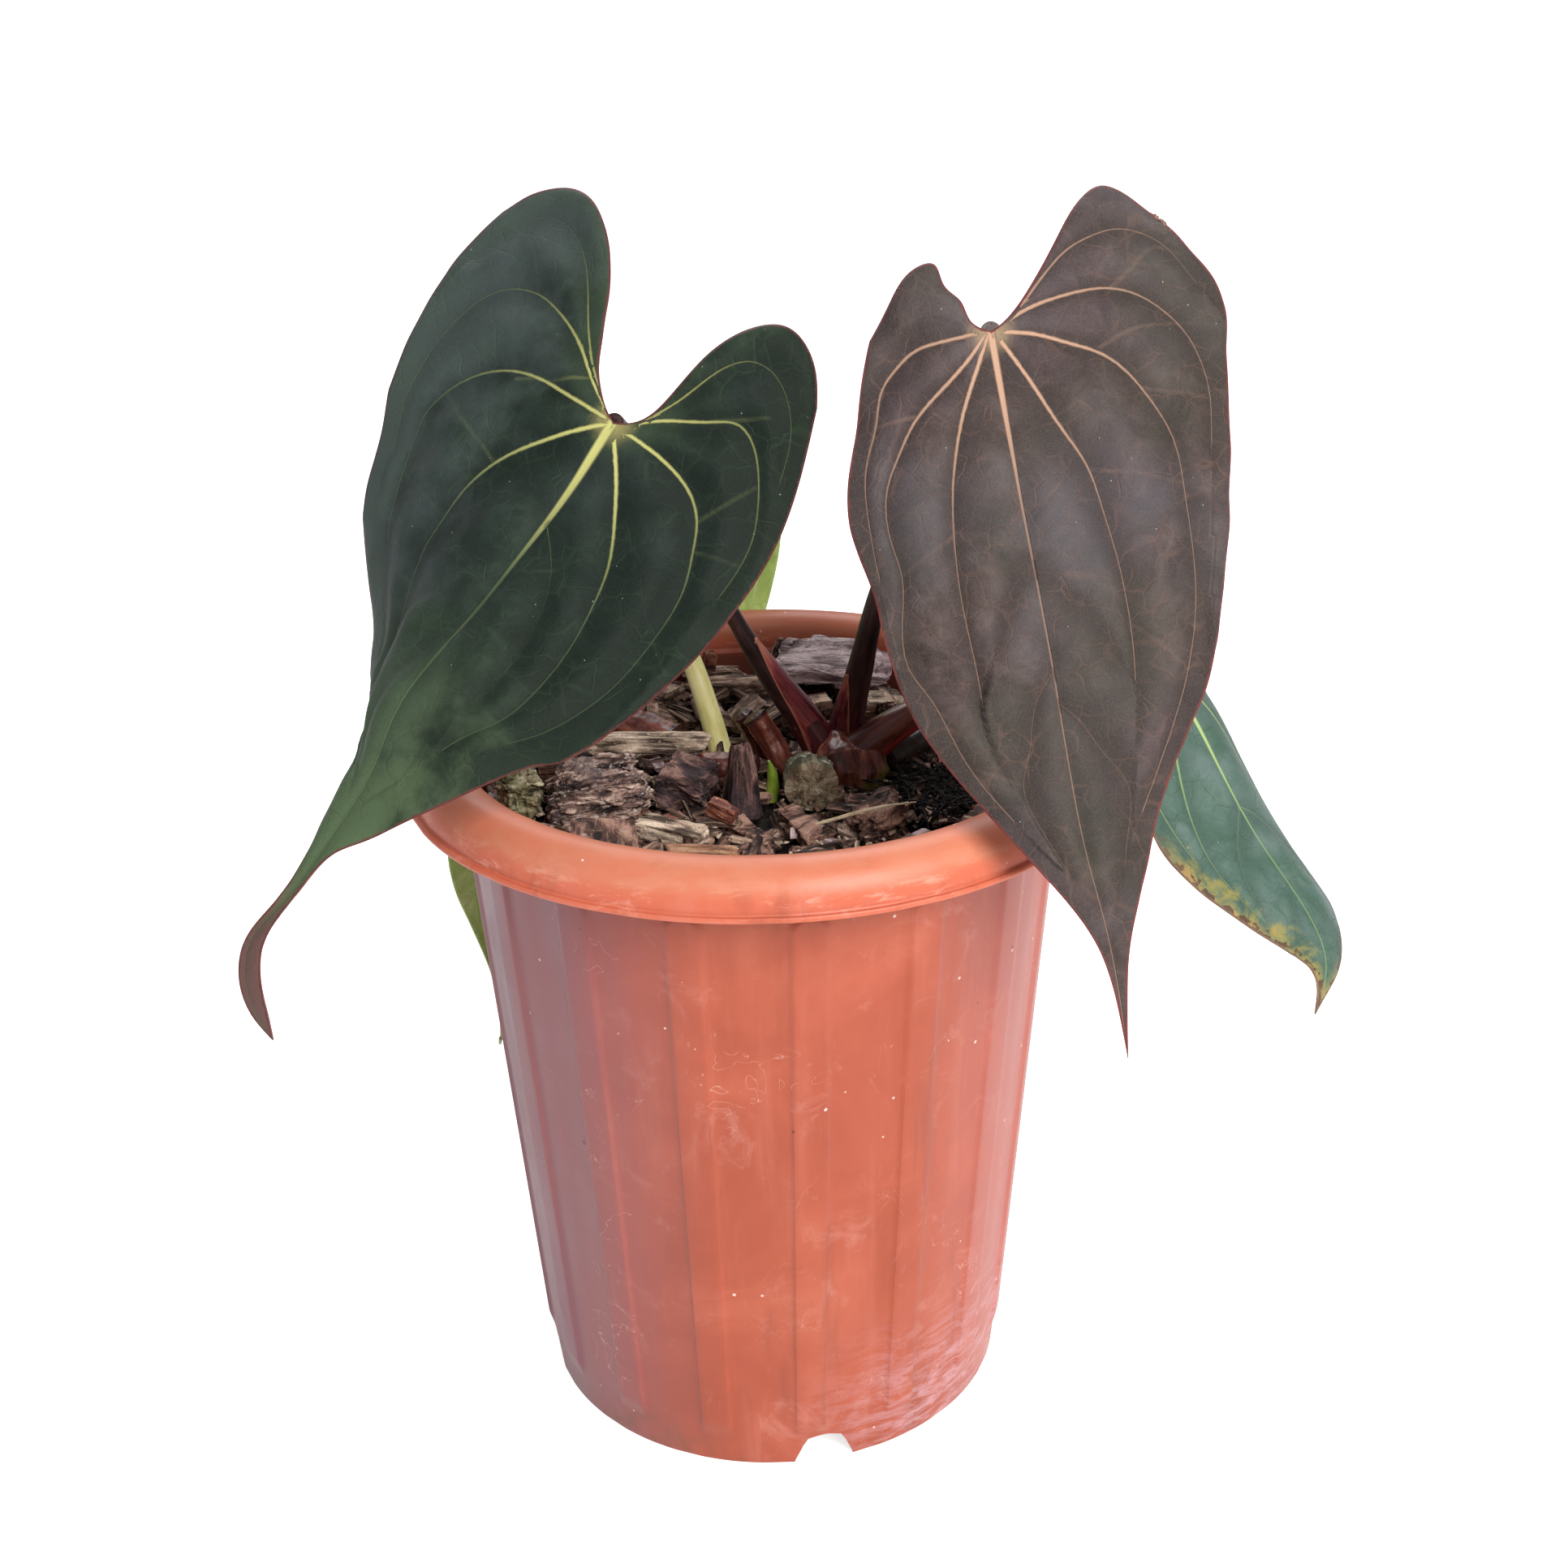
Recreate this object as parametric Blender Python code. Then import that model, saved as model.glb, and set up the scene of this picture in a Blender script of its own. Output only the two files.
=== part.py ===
"""Potted anthurium: ribbed plastic nursery pot, bark mix, crown, stems and four heart-shaped blades.

Metres, +Z up. Origin: centre of the pot's foot, on the surface the pot stands on. Front is -Y.
"""
import math
import random

import bmesh
import bpy
import numpy as np
from mathutils import Euler, Matrix, Vector

MM = 0.001

# ---------------------------------------------------------------- driving sizes
POT_HEIGHT = 184 * MM            # foot to crown of the rim
LIP_RADIUS = 90 * MM             # outside edge of the lip under the rim
FOOT_RADIUS = 61.3 * MM          # outside of the foot
LIP_OVERHANG = 14.8 * MM         # lip edge out from the body wall
RIM_DROP = 11.2 * MM             # rim crown down to the underside of the lip
LIP_THICKNESS = 1.4 * MM
LIP_SHELF = 1.5 * MM             # lip out beyond the rolled shoulder
RIM_INNER_STEP = 1.4 * MM        # body wall in to the mouth edge of the roll
RIM_CROWN_SHARE = 0.39           # where the crown sits across the roll
RIM_INNER_FALL = 4.6 * MM        # crown down to where the mouth edge turns straight
LEDGE_DROP = 9.2 * MM            # crown down to the stacking ledge inside the mouth
LEDGE_WIDTH = 0.7 * MM
WALL = 2.0 * MM
RIM_WALL = 1.8 * MM
FOOT_RING_HEIGHT = 9.6 * MM      # hollow below the floor
FOOT_RING_WALL = 2.6 * MM
FLOOR_THICKNESS = 2.2 * MM
FOOT_EDGE = 0.6 * MM             # softened bottom edge
PAD_RADIUS = 28 * MM             # middle of the floor, dropped to stand on
FOOT_BAND = 8 * MM               # plain band below the ribs
RIB_COUNT = 16
RIB_HEIGHT = 1.0 * MM
RIB_WIDTH = 10 * MM
RIB_FLANK = 1.4 * MM             # sloping side of a rib
RIB_FADE = 6 * MM                # length over which a rib end dies into the wall
RIB_TOP_DROP = 17 * MM           # crown down to the rib tops
RIB_TURN = math.radians(8.5)     # first rib, turned from the front
NOTCH_COUNT = 4
NOTCH_TURN = math.radians(12)
NOTCH_WIDTH = 16.5 * MM
NOTCH_TOP_WIDTH = 8 * MM
NOTCH_HEIGHT = 8.6 * MM
DRAIN_HOLES = 8
DRAIN_RADIUS = 4 * MM
DRAIN_CIRCLE = 43 * MM

HEADSPACE = 20 * MM              # rim crown down to the bark mix
PLANT_SCALE = 1.0                # blades, about the places where they lean over the rim
BLADE_THICKNESS = 0.8 * MM
PETIOLE_RADIUS = 2.5 * MM
GAP = 0.3 * MM                   # air left between neighbouring pieces

# ---------------------------------------------------------------- sizes that follow
BODY_TOP_RADIUS = LIP_RADIUS - LIP_OVERHANG
LIP_UNDERSIDE = POT_HEIGHT - RIM_DROP
BED_LEVEL = POT_HEIGHT - HEADSPACE
FLOOR_TOP = FOOT_RING_HEIGHT + FLOOR_THICKNESS
NOMINAL_BED_RADIUS = 72.0 * MM


def body_radius(z):
    """Outside of the tapered body at a height."""
    return FOOT_RADIUS + (BODY_TOP_RADIUS - FOOT_RADIUS) * z / LIP_UNDERSIDE


def inner_radius(z):
    """Inside of the body at a height."""
    return body_radius(z) - WALL


SPREAD = inner_radius(BED_LEVEL) / NOMINAL_BED_RADIUS      # bed items follow the mouth
PLANT = SPREAD * PLANT_SCALE
STEM_RADIUS = PETIOLE_RADIUS * SPREAD


def bed(x, y, lift):
    """A place in the bed: millimetres across and above the level of the mix."""
    return Vector((x * MM * SPREAD, y * MM * SPREAD, BED_LEVEL + GAP + lift * MM * SPREAD))


def air(x, y, rise):
    """A place in the plant: millimetres across and above the rim crown."""
    return Vector((x * MM * SPREAD, y * MM * SPREAD, POT_HEIGHT + rise * MM * SPREAD))


# ---------------------------------------------------------------- curves
def natural_spline(knots, values, at):
    """Smooth curve through values given at knots, with relaxed ends."""
    knots = np.asarray(knots, float)
    values = np.asarray(values, float)
    n = len(knots)
    h = np.diff(knots)
    rows = np.eye(n)
    right = np.zeros((n,) + values.shape[1:])
    for i in range(1, n - 1):
        rows[i, i - 1] = h[i - 1]
        rows[i, i] = 2 * (h[i - 1] + h[i])
        rows[i, i + 1] = h[i]
        right[i] = 6 * ((values[i + 1] - values[i]) / h[i] - (values[i] - values[i - 1]) / h[i - 1])
    bend = np.linalg.solve(rows, right)
    at = np.asarray(at, float)
    i = np.clip(np.searchsorted(knots, at) - 1, 0, n - 2)
    shape = at.shape + (1,) * (values.ndim - 1)
    hi = h[i].reshape(shape)
    p = (knots[i + 1] - at).reshape(shape)
    q = (at - knots[i]).reshape(shape)
    return ((bend[i] * p ** 3 + bend[i + 1] * q ** 3) / (6 * hi)
            + (values[i] / hi - bend[i] * hi / 6) * p
            + (values[i + 1] / hi - bend[i + 1] * hi / 6) * q)


def curve_through(points, count):
    """Evenly spaced points along a smooth curve through the given ones."""
    points = np.asarray(points, float)
    knots = np.r_[0, np.cumsum(np.linalg.norm(np.diff(points, axis=0), axis=1))]
    fine = natural_spline(knots, points, np.linspace(0, knots[-1], 240))
    run = np.r_[0, np.cumsum(np.linalg.norm(np.diff(fine, axis=0), axis=1))]
    even = np.linspace(0, run[-1], count)
    return np.stack([np.interp(even, run, fine[:, k]) for k in range(points.shape[1])], -1)


class Blade:
    """A leaf blade: a midrib in space, a cross-section that folds away from it, and a flat outline.

    Flat places are (along, across) in millimetres: along the midrib from the junction with the
    stem to the tip, across it to one side or the other.
    """

    def __init__(self, over_rim, midrib, across, fold_left, fold_right, bend_widths, outer_left,
                 sinus_left, outer_right, sinus_right):
        anchor = np.array(list(over_rim))
        self.spine = anchor + (np.array([list(p) for p in midrib]) - anchor) * PLANT_SCALE
        steps = np.linalg.norm(np.diff(self.spine, axis=0), axis=1)
        self.knots = np.r_[0, np.cumsum(steps)]
        self.across = np.asarray(across, float)
        self.length = self.knots[-1] / (MM * PLANT)
        self.fold_left = np.asarray(fold_left, float)
        self.fold_right = np.asarray(fold_right, float)
        self.bend_widths = bend_widths
        self.margins = {-1: (outer_left, sinus_left), 1: (outer_right, sinus_right)}

    def frame(self, along):
        """Midrib place, direction to the tip, direction across, and upper-side normal."""
        s = np.asarray(along, float) * MM * PLANT
        inside = np.clip(s, 0, self.knots[-1])
        step = 0.2 * MM
        low = np.clip(inside - step, 0, None)
        high = np.clip(inside + step, None, self.knots[-1])
        t = natural_spline(self.knots, self.spine, high) - natural_spline(self.knots, self.spine, low)
        t /= np.linalg.norm(t, axis=-1, keepdims=True)
        m = natural_spline(self.knots, self.spine, inside) + t * (s - inside)[..., None]
        share = inside / self.knots[-1]
        b = natural_spline(np.linspace(0, 1, len(self.across)), self.across, share)
        b = b - t * (b * t).sum(-1, keepdims=True)
        b /= np.linalg.norm(b, axis=-1, keepdims=True)
        return m, t, b, np.cross(t, b)

    def place(self, along, across):
        """Points of the upper surface and their normals."""
        along = np.asarray(along, float)
        across = np.asarray(across, float)
        m, t, b, n = self.frame(along)
        side = np.sign(across)
        fold = np.where(across < 0, np.interp(along, *self.fold_left.T),
                        np.interp(along, *self.fold_right.T))
        cuts = 24
        reach = np.abs(across)
        width = np.where(across < 0, *self.bend_widths)
        out = np.zeros_like(reach)
        down = np.zeros_like(reach)
        for k in range(cuts):
            angle = fold * (1 - np.exp(-reach * (k + 0.5) / cuts / width))
            out += np.cos(angle) * reach / cuts
            down += np.sin(angle) * reach / cuts
        tilt = fold * (1 - np.exp(-reach / width))
        scale = MM * PLANT
        point = m + b * (side * out * scale)[..., None] - n * (down * scale)[..., None]
        normal = n * np.cos(tilt)[..., None] + b * (side * np.sin(tilt))[..., None]
        return point, normal


# ---------------------------------------------------------------- the four blades
DARK_BLADE = Blade(
    over_rim=air(-95, -65, 0),
    midrib=[air(-32, -12, 80), air(-43, -19, 65.5), air(-67, -39.5, 41), air(-79, -51, 29),
            air(-87.5, -60.5, 13), air(-98, -66.5, -1.5), air(-108, -70, -13.5),
            air(-116.5, -70.5, -24), air(-117, -73, -36), air(-112, -75.5, -46)],
    across=[(0.97, -0.22, -0.05), (0.97, -0.22, -0.05), (0.96, -0.24, -0.06), (0.93, -0.30, -0.1),
            (0.90, -0.38, -0.2), (0.88, -0.4, -0.2), (0.8, -0.4, 0.4)],
    fold_left=[(-40, 0.25), (20, 0.2), (45, 0.4), (58, 0.65), (75, 1.0), (90, 1.45), (110, 1.6),
               (125, 1.0), (150, 0.2)],
    fold_right=[(-40, 0.25), (60, 0.22), (120, 0.1)],
    bend_widths=(7, 12),
    outer_left=[(172, 0), (165, -1.4), (150, -1.5), (135, -1.6), (120, -4), (105, -10), (90, -20),
                (77, -31.5), (66, -40.5), (53, -50), (38, -55.5), (18, -58.5), (0, -61.5), (-16, -61.5),
                (-30, -58)],
    sinus_left=[(-30, -58), (-40, -51), (-43.5, -42), (-39, -31), (-28, -21), (-14, -13.5),
                (-5, -7), (-1, -2), (0, 0)],
    outer_right=[(172, 0), (166, 3.2), (158, 4.4), (148, 3.8), (138, 1.8), (128, 1.2), (120, 2.4),
                 (112, 7.5), (103, 14.5), (94, 24), (86, 32), (76, 38.5), (62, 43), (44, 46.5),
                 (22, 48), (2, 47), (-14, 43), (-28, 38)],
    sinus_right=[(-28, 38), (-37, 31), (-40, 22), (-35, 15), (-23, 9.5), (-10, 7.5), (-3, 4.5),
                 (-1, 2), (0, 0)],
)

BRONZE_BLADE = Blade(
    over_rim=air(75, -83, -8),
    midrib=[air(53.7, -24.3, 102.4), air(59.5, -43.9, 68), air(65.6, -63.5, 33.7), air(72, -80, -2),
            air(76, -86, -17), air(80, -96.5, -42.5)],
    across=[(0.99, 0.05, 0.05), (0.99, 0.05, 0.05)],
    fold_left=[(-20, 0.4), (100, 0.3), (140, 0.2)],
    fold_right=[(-20, 0.3), (100, 0.2), (140, 0.15)],
    bend_widths=(25, 25),
    outer_left=[(164.5, 0), (154, -0.6), (147, -1.2), (138, -3), (127, -7), (111, -16), (97, -25),
                (83, -32), (68, -35), (50, -36.5), (37, -38.5), (22, -35.5), (8, -31), (-3, -27)],
    sinus_left=[(-3, -27), (-11, -21), (-17, -14), (-17, -10), (-12, -8.5), (-8, -5.5), (-3, -4),
                (-1, -2), (0, 0)],
    outer_right=[(164.5, 0), (156, 1), (147, 2.4), (138, 5), (125, 12), (108, 20), (92, 30),
                 (76, 38), (52, 46), (30, 51), (14, 53.5), (-3, 55.5), (-14, 50), (-21, 44)],
    sinus_right=[(-21, 44), (-28, 37), (-30.5, 31), (-28, 26), (-20, 19), (-12, 13), (-5, 7),
                 (-1, 2), (0, 0)],
)

OLD_BLADE = Blade(
    over_rim=air(101, 0, 11),
    midrib=[air(101, 0, 11), air(109, -7, -2), air(121, -18, -24), air(132, -29, -39),
            air(137.5, -37, -53), air(134.5, -43, -62)],
    across=[(0.76, 0.64, 0.07), (0.76, 0.64, 0.07)],
    fold_left=[(-20, 0.2), (90, 0.2)],
    fold_right=[(-20, 1.1), (60, 1.1), (90, 0.8)],
    bend_widths=(14, 14),
    outer_left=[(95, 0), (89, -2), (82, -7), (68, -16), (52, -23.5), (38, -27), (24, -26),
                (8, -25), (-8, -21)],
    sinus_left=[(-8, -21), (-18, -16), (-20, -11), (-13, -7), (-4, -3), (0, 0)],
    outer_right=[(95, 0), (89, 2), (81, 7), (68, 16), (52, 23), (30, 27), (10, 26), (-8, 22)],
    sinus_right=[(-8, 22), (-18, 17), (-20, 11), (-13, 7), (-4, 3), (0, 0)],
)

YELLOW_BLADE = Blade(
    over_rim=air(-37, 101, 10),
    midrib=[air(-33, 101, 23), air(-40, 101, -2), air(-57, 89, -42), air(-69, 75, -80),
            air(-77, 65, -112), air(-80, 59, -128)],
    across=[(-0.84, -0.54, 0.0), (-0.84, -0.54, 0.0)],
    fold_left=[(-30, 0.4), (120, 0.3)],
    fold_right=[(-30, 0.3), (120, 0.4)],
    bend_widths=(25, 25),
    outer_left=[(163, 0), (154, -2), (141, -8), (120, -21), (92, -34), (60, -43), (28, -46),
                (0, -44), (-18, -38)],
    sinus_left=[(-18, -38), (-31, -29), (-34, -19), (-24, -10), (-8, -4), (0, 0)],
    outer_right=[(163, 0), (154, 2), (141, 8), (120, 25), (92, 39), (60, 44), (28, 41),
                 (4, 33), (-8, 26)],
    sinus_right=[(-8, 26), (-15, 20), (-17, 14), (-13, 8), (-5, 3), (0, 0)],
)


# ---------------------------------------------------------------- building
def surface(name, colour, roughness, metallic=0.0):
    """A plain Principled material."""
    finish = bpy.data.materials.new(name)
    finish.use_nodes = True
    shader = finish.node_tree.nodes["Principled BSDF"]
    shader.inputs["Base Color"].default_value = (*colour, 1.0)
    shader.inputs["Roughness"].default_value = roughness
    shader.inputs["Metallic"].default_value = metallic
    finish.diffuse_color = (*colour, 1.0)
    return finish


def solid(name, bm, finish, smooth_angle=None):
    """Turn a closed bmesh into a named object."""
    bmesh.ops.recalc_face_normals(bm, faces=bm.faces[:])
    if smooth_angle is not None:
        for face in bm.faces:
            face.smooth = True
        for edge in bm.edges:
            edge.smooth = edge.calc_face_angle(0.0) < math.radians(smooth_angle)
    mesh = bpy.data.meshes.new(name)
    bm.to_mesh(mesh)
    bm.free()
    mesh.materials.append(finish)
    thing = bpy.data.objects.new(name, mesh)
    bpy.context.scene.collection.objects.link(thing)
    return thing


def ladder(rings):
    """A closed skin over a row of rings with flat ends."""
    bm = bmesh.new()
    rows = [[bm.verts.new(p) for p in ring] for ring in rings]
    count = len(rows[0])
    for low, high in zip(rows, rows[1:]):
        for k in range(count):
            n = (k + 1) % count
            bm.faces.new((low[k], low[n], high[n], high[k]))
    bm.faces.new(rows[0][::-1])
    bm.faces.new(rows[-1])
    return bm


def frames_along(points):
    """Directions and two cross directions along a path, without twist."""
    points = [Vector(p) for p in points]
    ahead = [points[min(i + 1, len(points) - 1)] - points[max(i - 1, 0)] for i in range(len(points))]
    ahead = [v.normalized() for v in ahead]
    first = ahead[0].orthogonal().normalized()
    out = []
    for place, way in zip(points, ahead):
        first = (first - way * first.dot(way)).normalized()
        out.append((place, way, first, way.cross(first)))
    return out


def stem(name, path, radii, finish, rings=14, sides=10):
    """A round stem through a few places, its radius eased along its length."""
    places = curve_through([list(p) for p in path], rings)
    share = np.linspace(0, 1, rings)
    sizes = np.interp(share, np.linspace(0, 1, len(radii)), radii)
    rows = []
    for (place, _, u, v), radius in zip(frames_along(places), sizes):
        turns = [2 * math.pi * k / sides for k in range(sides)]
        rows.append([place + (u * math.cos(a) + v * math.sin(a)) * radius for a in turns])
    return solid(name, ladder(rows), finish, 50)


def sheath(name, path, inner, half_angle, facing, thickness, finish, rings=9, columns=7):
    """A thin pointed bract wrapped part of the way round a stem."""
    places = curve_through([list(p) for p in path], rings)
    facing = Vector(facing)
    rows = []
    for i, (place, way, _, _) in enumerate(frames_along(places)):
        u = (facing - way * facing.dot(way)).normalized()
        v = way.cross(u)
        share = i / (rings - 1)
        half = half_angle * (1 - 0.93 * share ** 1.6)
        turns = np.linspace(-half, half, columns)
        outer = [place + (u * math.cos(a) + v * math.sin(a)) * (inner + thickness) for a in turns]
        within = [place + (u * math.cos(a) + v * math.sin(a)) * inner for a in turns[::-1]]
        rows.append(outer + within)
    return solid(name, ladder(rows), finish, 50)


def chunk(name, at, size, turn, finish, seed, rough=0.16, cuts=1):
    """A broken piece of bark: a block with knocked-off corners, resting at a place in the bed."""
    rng = random.Random(seed)
    bm = bmesh.new()
    bmesh.ops.create_cube(bm, size=1.0)
    bmesh.ops.subdivide_edges(bm, edges=bm.edges[:], cuts=cuts, use_grid_fill=True)
    cell = rough / (cuts + 1)
    for vert in bm.verts:
        edge_count = sum(abs(c) > 0.49 for c in vert.co)
        shrink = 1 - 0.05 * (edge_count - 1)
        vert.co = Vector([c * shrink + rng.uniform(-cell, cell) * 0.9 for c in vert.co])
    spin = Euler([math.radians(a) for a in turn]).to_matrix()
    scale = Matrix.Diagonal([s * MM * SPREAD for s in size])
    for vert in bm.verts:
        vert.co = spin @ (scale @ vert.co)
    lowest = min(vert.co.z for vert in bm.verts)
    base = bed(*at)
    for vert in bm.verts:
        vert.co += Vector((base.x, base.y, base.z - lowest))
    bmesh.ops.triangulate(bm, faces=bm.faces[:])
    return solid(name, bm, finish, 25)


def stub(name, low, high, radius, finish, sides=12):
    """A length of old stem cut square."""
    return stem(name, [bed(*low), bed(*high)], [radius * MM * SPREAD] * 2, finish, rings=3, sides=sides)


def blade_mesh(blade, rows=23, columns=4, at_midrib=0.72):
    """Upper surface of a blade as shared vertices: two ladders from the tip back to the lobes."""
    places = {}
    faces = []
    flat = []

    def vertex(key, spot):
        if key not in places:
            places[key] = len(flat)
            flat.append(spot)
        return places[key]

    for side in (-1, 1):
        outer, sinus = blade.margins[side]
        outside = curve_through(outer, rows)
        mid_rows = max(2, round(rows * at_midrib))
        back_rows = rows - mid_rows + 1
        inside = [(blade.length * (1 - i / (mid_rows - 1)), 0.0) for i in range(mid_rows)]
        inside[0] = tuple(outside[0])
        inside += [tuple(p) for p in curve_through(sinus[::-1], back_rows)[1:]]
        grid = []
        for i, (inner, outer_spot) in enumerate(zip(inside, outside)):
            row = []
            for j in range(columns + 1):
                share = j / columns
                spot = tuple(np.asarray(inner) * (1 - share) + np.asarray(outer_spot) * share)
                if i == 0:
                    key = ("tip",)
                elif i == rows - 1:
                    key = ("lobe", side)
                elif j == 0 and i < mid_rows:
                    key = ("mid", i)
                else:
                    key = (side, i, j)
                row.append(vertex(key, spot))
            grid.append(row)
        for low, high in zip(grid, grid[1:]):
            for j in range(columns):
                loop = [low[j], low[j + 1], high[j + 1], high[j]]
                loop = [v for k, v in enumerate(loop) if v != loop[k - 1]]
                if len(loop) >= 3:
                    faces.append(loop if side > 0 else loop[::-1])
    return np.array(flat), faces


def leaf(name, blade, finish):
    """A blade as a thin closed shell, even in thickness."""
    flat, faces = blade_mesh(blade)
    upper, normal = blade.place(flat[:, 0], flat[:, 1])
    lower = upper - normal * BLADE_THICKNESS
    bm = bmesh.new()
    top = [bm.verts.new(p) for p in upper]
    under = [bm.verts.new(p) for p in lower]
    edges = {}
    for loop in faces:
        bm.faces.new([top[v] for v in loop])
        bm.faces.new([under[v] for v in reversed(loop)])
        for a, b in zip(loop, loop[1:] + loop[:1]):
            edges[(a, b)] = edges.get((a, b), 0) + 1
    for a, b in edges:
        if (b, a) not in edges:
            bm.faces.new((top[b], top[a], under[a], under[b]))
    return solid(name, bm, finish, 60)


# ---------------------------------------------------------------- start clean
for old in list(bpy.data.objects):
    bpy.data.objects.remove(old, do_unlink=True)

TERRACOTTA = surface("terracotta_plastic", (0.52, 0.13, 0.06), 0.45)
SOIL = surface("bark_mix", (0.035, 0.022, 0.015), 0.95)
DARK_BARK = surface("dark_bark", (0.075, 0.042, 0.03), 0.9)
TAN_WOOD = surface("weathered_wood", (0.22, 0.16, 0.11), 0.9)
GREY_BARK = surface("grey_bark", (0.14, 0.115, 0.10), 0.9)
MOSS = surface("dry_moss", (0.20, 0.19, 0.09), 0.95)
ROOTS = surface("roots", (0.03, 0.02, 0.015), 0.9)
OLD_STEM = surface("cut_stem", (0.16, 0.05, 0.03), 0.55)
RED_SKIN = surface("wine_red_skin", (0.17, 0.02, 0.025), 0.35)
DARK_STEM = surface("dark_stem", (0.05, 0.02, 0.022), 0.4)
YELLOW_STEM = surface("yellow_stem", (0.50, 0.52, 0.20), 0.45)
CROWN_SKIN = surface("crown_skin", (0.13, 0.06, 0.04), 0.5)
GREEN_SHOOT = surface("green_shoot", (0.30, 0.40, 0.08), 0.4)
DARK_GREEN = surface("dark_green_blade", (0.016, 0.038, 0.026), 0.5)
BRONZE = surface("bronze_blade", (0.085, 0.06, 0.055), 0.5)
BLUE_GREEN = surface("old_green_blade", (0.045, 0.10, 0.07), 0.5)
YELLOW_GREEN = surface("yellow_green_blade", (0.30, 0.42, 0.08), 0.5)

# ---------------------------------------------------------------- pot
RIB_PITCH = 2 * math.pi / RIB_COUNT
RIB_HALF = RIB_WIDTH / 2 / body_radius(POT_HEIGHT / 2)
RIB_EDGE = RIB_FLANK / body_radius(POT_HEIGHT / 2)
PANEL = RIB_PITCH - 2 * RIB_HALF
POT_ANGLES = [RIB_TURN + k * RIB_PITCH + step for k in range(RIB_COUNT)
              for step in (-RIB_HALF, RIB_EDGE - RIB_HALF, RIB_HALF - RIB_EDGE, RIB_HALF,
                           RIB_HALF + PANEL / 2)]
POT_RAISED = [0, 1, 1, 0, 0] * RIB_COUNT


def pot_ring(radius, z, rib=0.0):
    """One level round of the pot; rib says how much the ribs stand out there."""
    out = []
    for angle, raised in zip(POT_ANGLES, POT_RAISED):
        r = radius + RIB_HEIGHT * rib * raised
        out.append((r * math.sin(angle), -r * math.cos(angle), z))
    return out


def quarter(centre_r, centre_z, reach_r, reach_z, first, last, steps):
    """Part of an ellipse in the pot's section, angles in degrees from level."""
    turns = [math.radians(first + (last - first) * k / steps) for k in range(steps + 1)]
    return [(centre_r + reach_r * math.cos(a), centre_z + reach_z * math.sin(a)) for a in turns]


shoulder_r = LIP_RADIUS - LIP_SHELF
mouth_r = BODY_TOP_RADIUS - RIM_INNER_STEP
crown_r = mouth_r + RIM_CROWN_SHARE * (shoulder_r - mouth_r)
lip_top = LIP_UNDERSIDE + LIP_THICKNESS
root_r = body_radius(POT_HEIGHT - RIM_INNER_FALL)
rib_top = POT_HEIGHT - RIB_TOP_DROP
ledge_z = POT_HEIGHT - LEDGE_DROP
foot_inner_top = body_radius(FOOT_RING_HEIGHT) - FOOT_RING_WALL

section = [
    (PAD_RADIUS - FOOT_EDGE, 0, 0),
    (PAD_RADIUS, FOOT_EDGE, 0),
    (PAD_RADIUS, FOOT_RING_HEIGHT, 0),
    (foot_inner_top, FOOT_RING_HEIGHT, 0),
    (FOOT_RADIUS - FOOT_RING_WALL, 0, 0),
    (FOOT_RADIUS - FOOT_EDGE, 0, 0),
    (body_radius(FOOT_EDGE), FOOT_EDGE, 0),
    (body_radius(FOOT_BAND), FOOT_BAND, 0),
    (body_radius(FOOT_BAND + RIB_FADE), FOOT_BAND + RIB_FADE, 1),
    (body_radius(rib_top - RIB_FADE), rib_top - RIB_FADE, 1),
    (body_radius(rib_top), rib_top, 0),
]
section += [(r, z, 0) for r, z in quarter(
    crown_r, POT_HEIGHT - RIM_INNER_FALL, crown_r - root_r, RIM_INNER_FALL - RIM_WALL, 180, 90, 3)]
section += [(r, z, 0) for r, z in quarter(
    crown_r, lip_top, shoulder_r - RIM_WALL - crown_r, POT_HEIGHT - RIM_WALL - lip_top, 90, 0, 4)[1:]]
section += [
    (shoulder_r - RIM_WALL, LIP_UNDERSIDE, 0),
    (LIP_RADIUS, LIP_UNDERSIDE, 0),
    (LIP_RADIUS, lip_top, 0),
]
section += [(r, z, 0) for r, z in quarter(
    crown_r, lip_top, shoulder_r - crown_r, POT_HEIGHT - lip_top, 0, 90, 6)]
section += [(r, z, 0) for r, z in quarter(
    crown_r, POT_HEIGHT - RIM_INNER_FALL, crown_r - mouth_r, RIM_INNER_FALL, 90, 180, 3)[1:]]
section += [
    (inner_radius(ledge_z) + LEDGE_WIDTH, ledge_z, 0),
    (inner_radius(ledge_z), ledge_z - LEDGE_WIDTH, 0),
    (inner_radius(FLOOR_TOP), FLOOR_TOP, 0),
    (PAD_RADIUS - WALL, FLOOR_TOP, 0),
    (PAD_RADIUS - WALL, FLOOR_THICKNESS, 0),
]

pot_bm = ladder([pot_ring(*spot) for spot in section])


def cutter(name, bm):
    """A hidden wire shape used to cut the pot."""
    shape = solid(name, bm, TERRACOTTA)
    shape.hide_render = True
    shape.display_type = "WIRE"
    return shape


holes_bm = bmesh.new()
hole_spots = []
for k in range(DRAIN_HOLES):
    angle = 2 * math.pi * k / DRAIN_HOLES
    hole_spots.append((DRAIN_CIRCLE * math.cos(angle), DRAIN_CIRCLE * math.sin(angle)))
for x, y in hole_spots:
    middle = Matrix.Translation((x, y, FOOT_RING_HEIGHT + FLOOR_THICKNESS / 2))
    bmesh.ops.create_cone(holes_bm, cap_ends=True, segments=14, radius1=DRAIN_RADIUS,
                          radius2=DRAIN_RADIUS, depth=3 * FLOOR_THICKNESS, matrix=middle)

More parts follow.
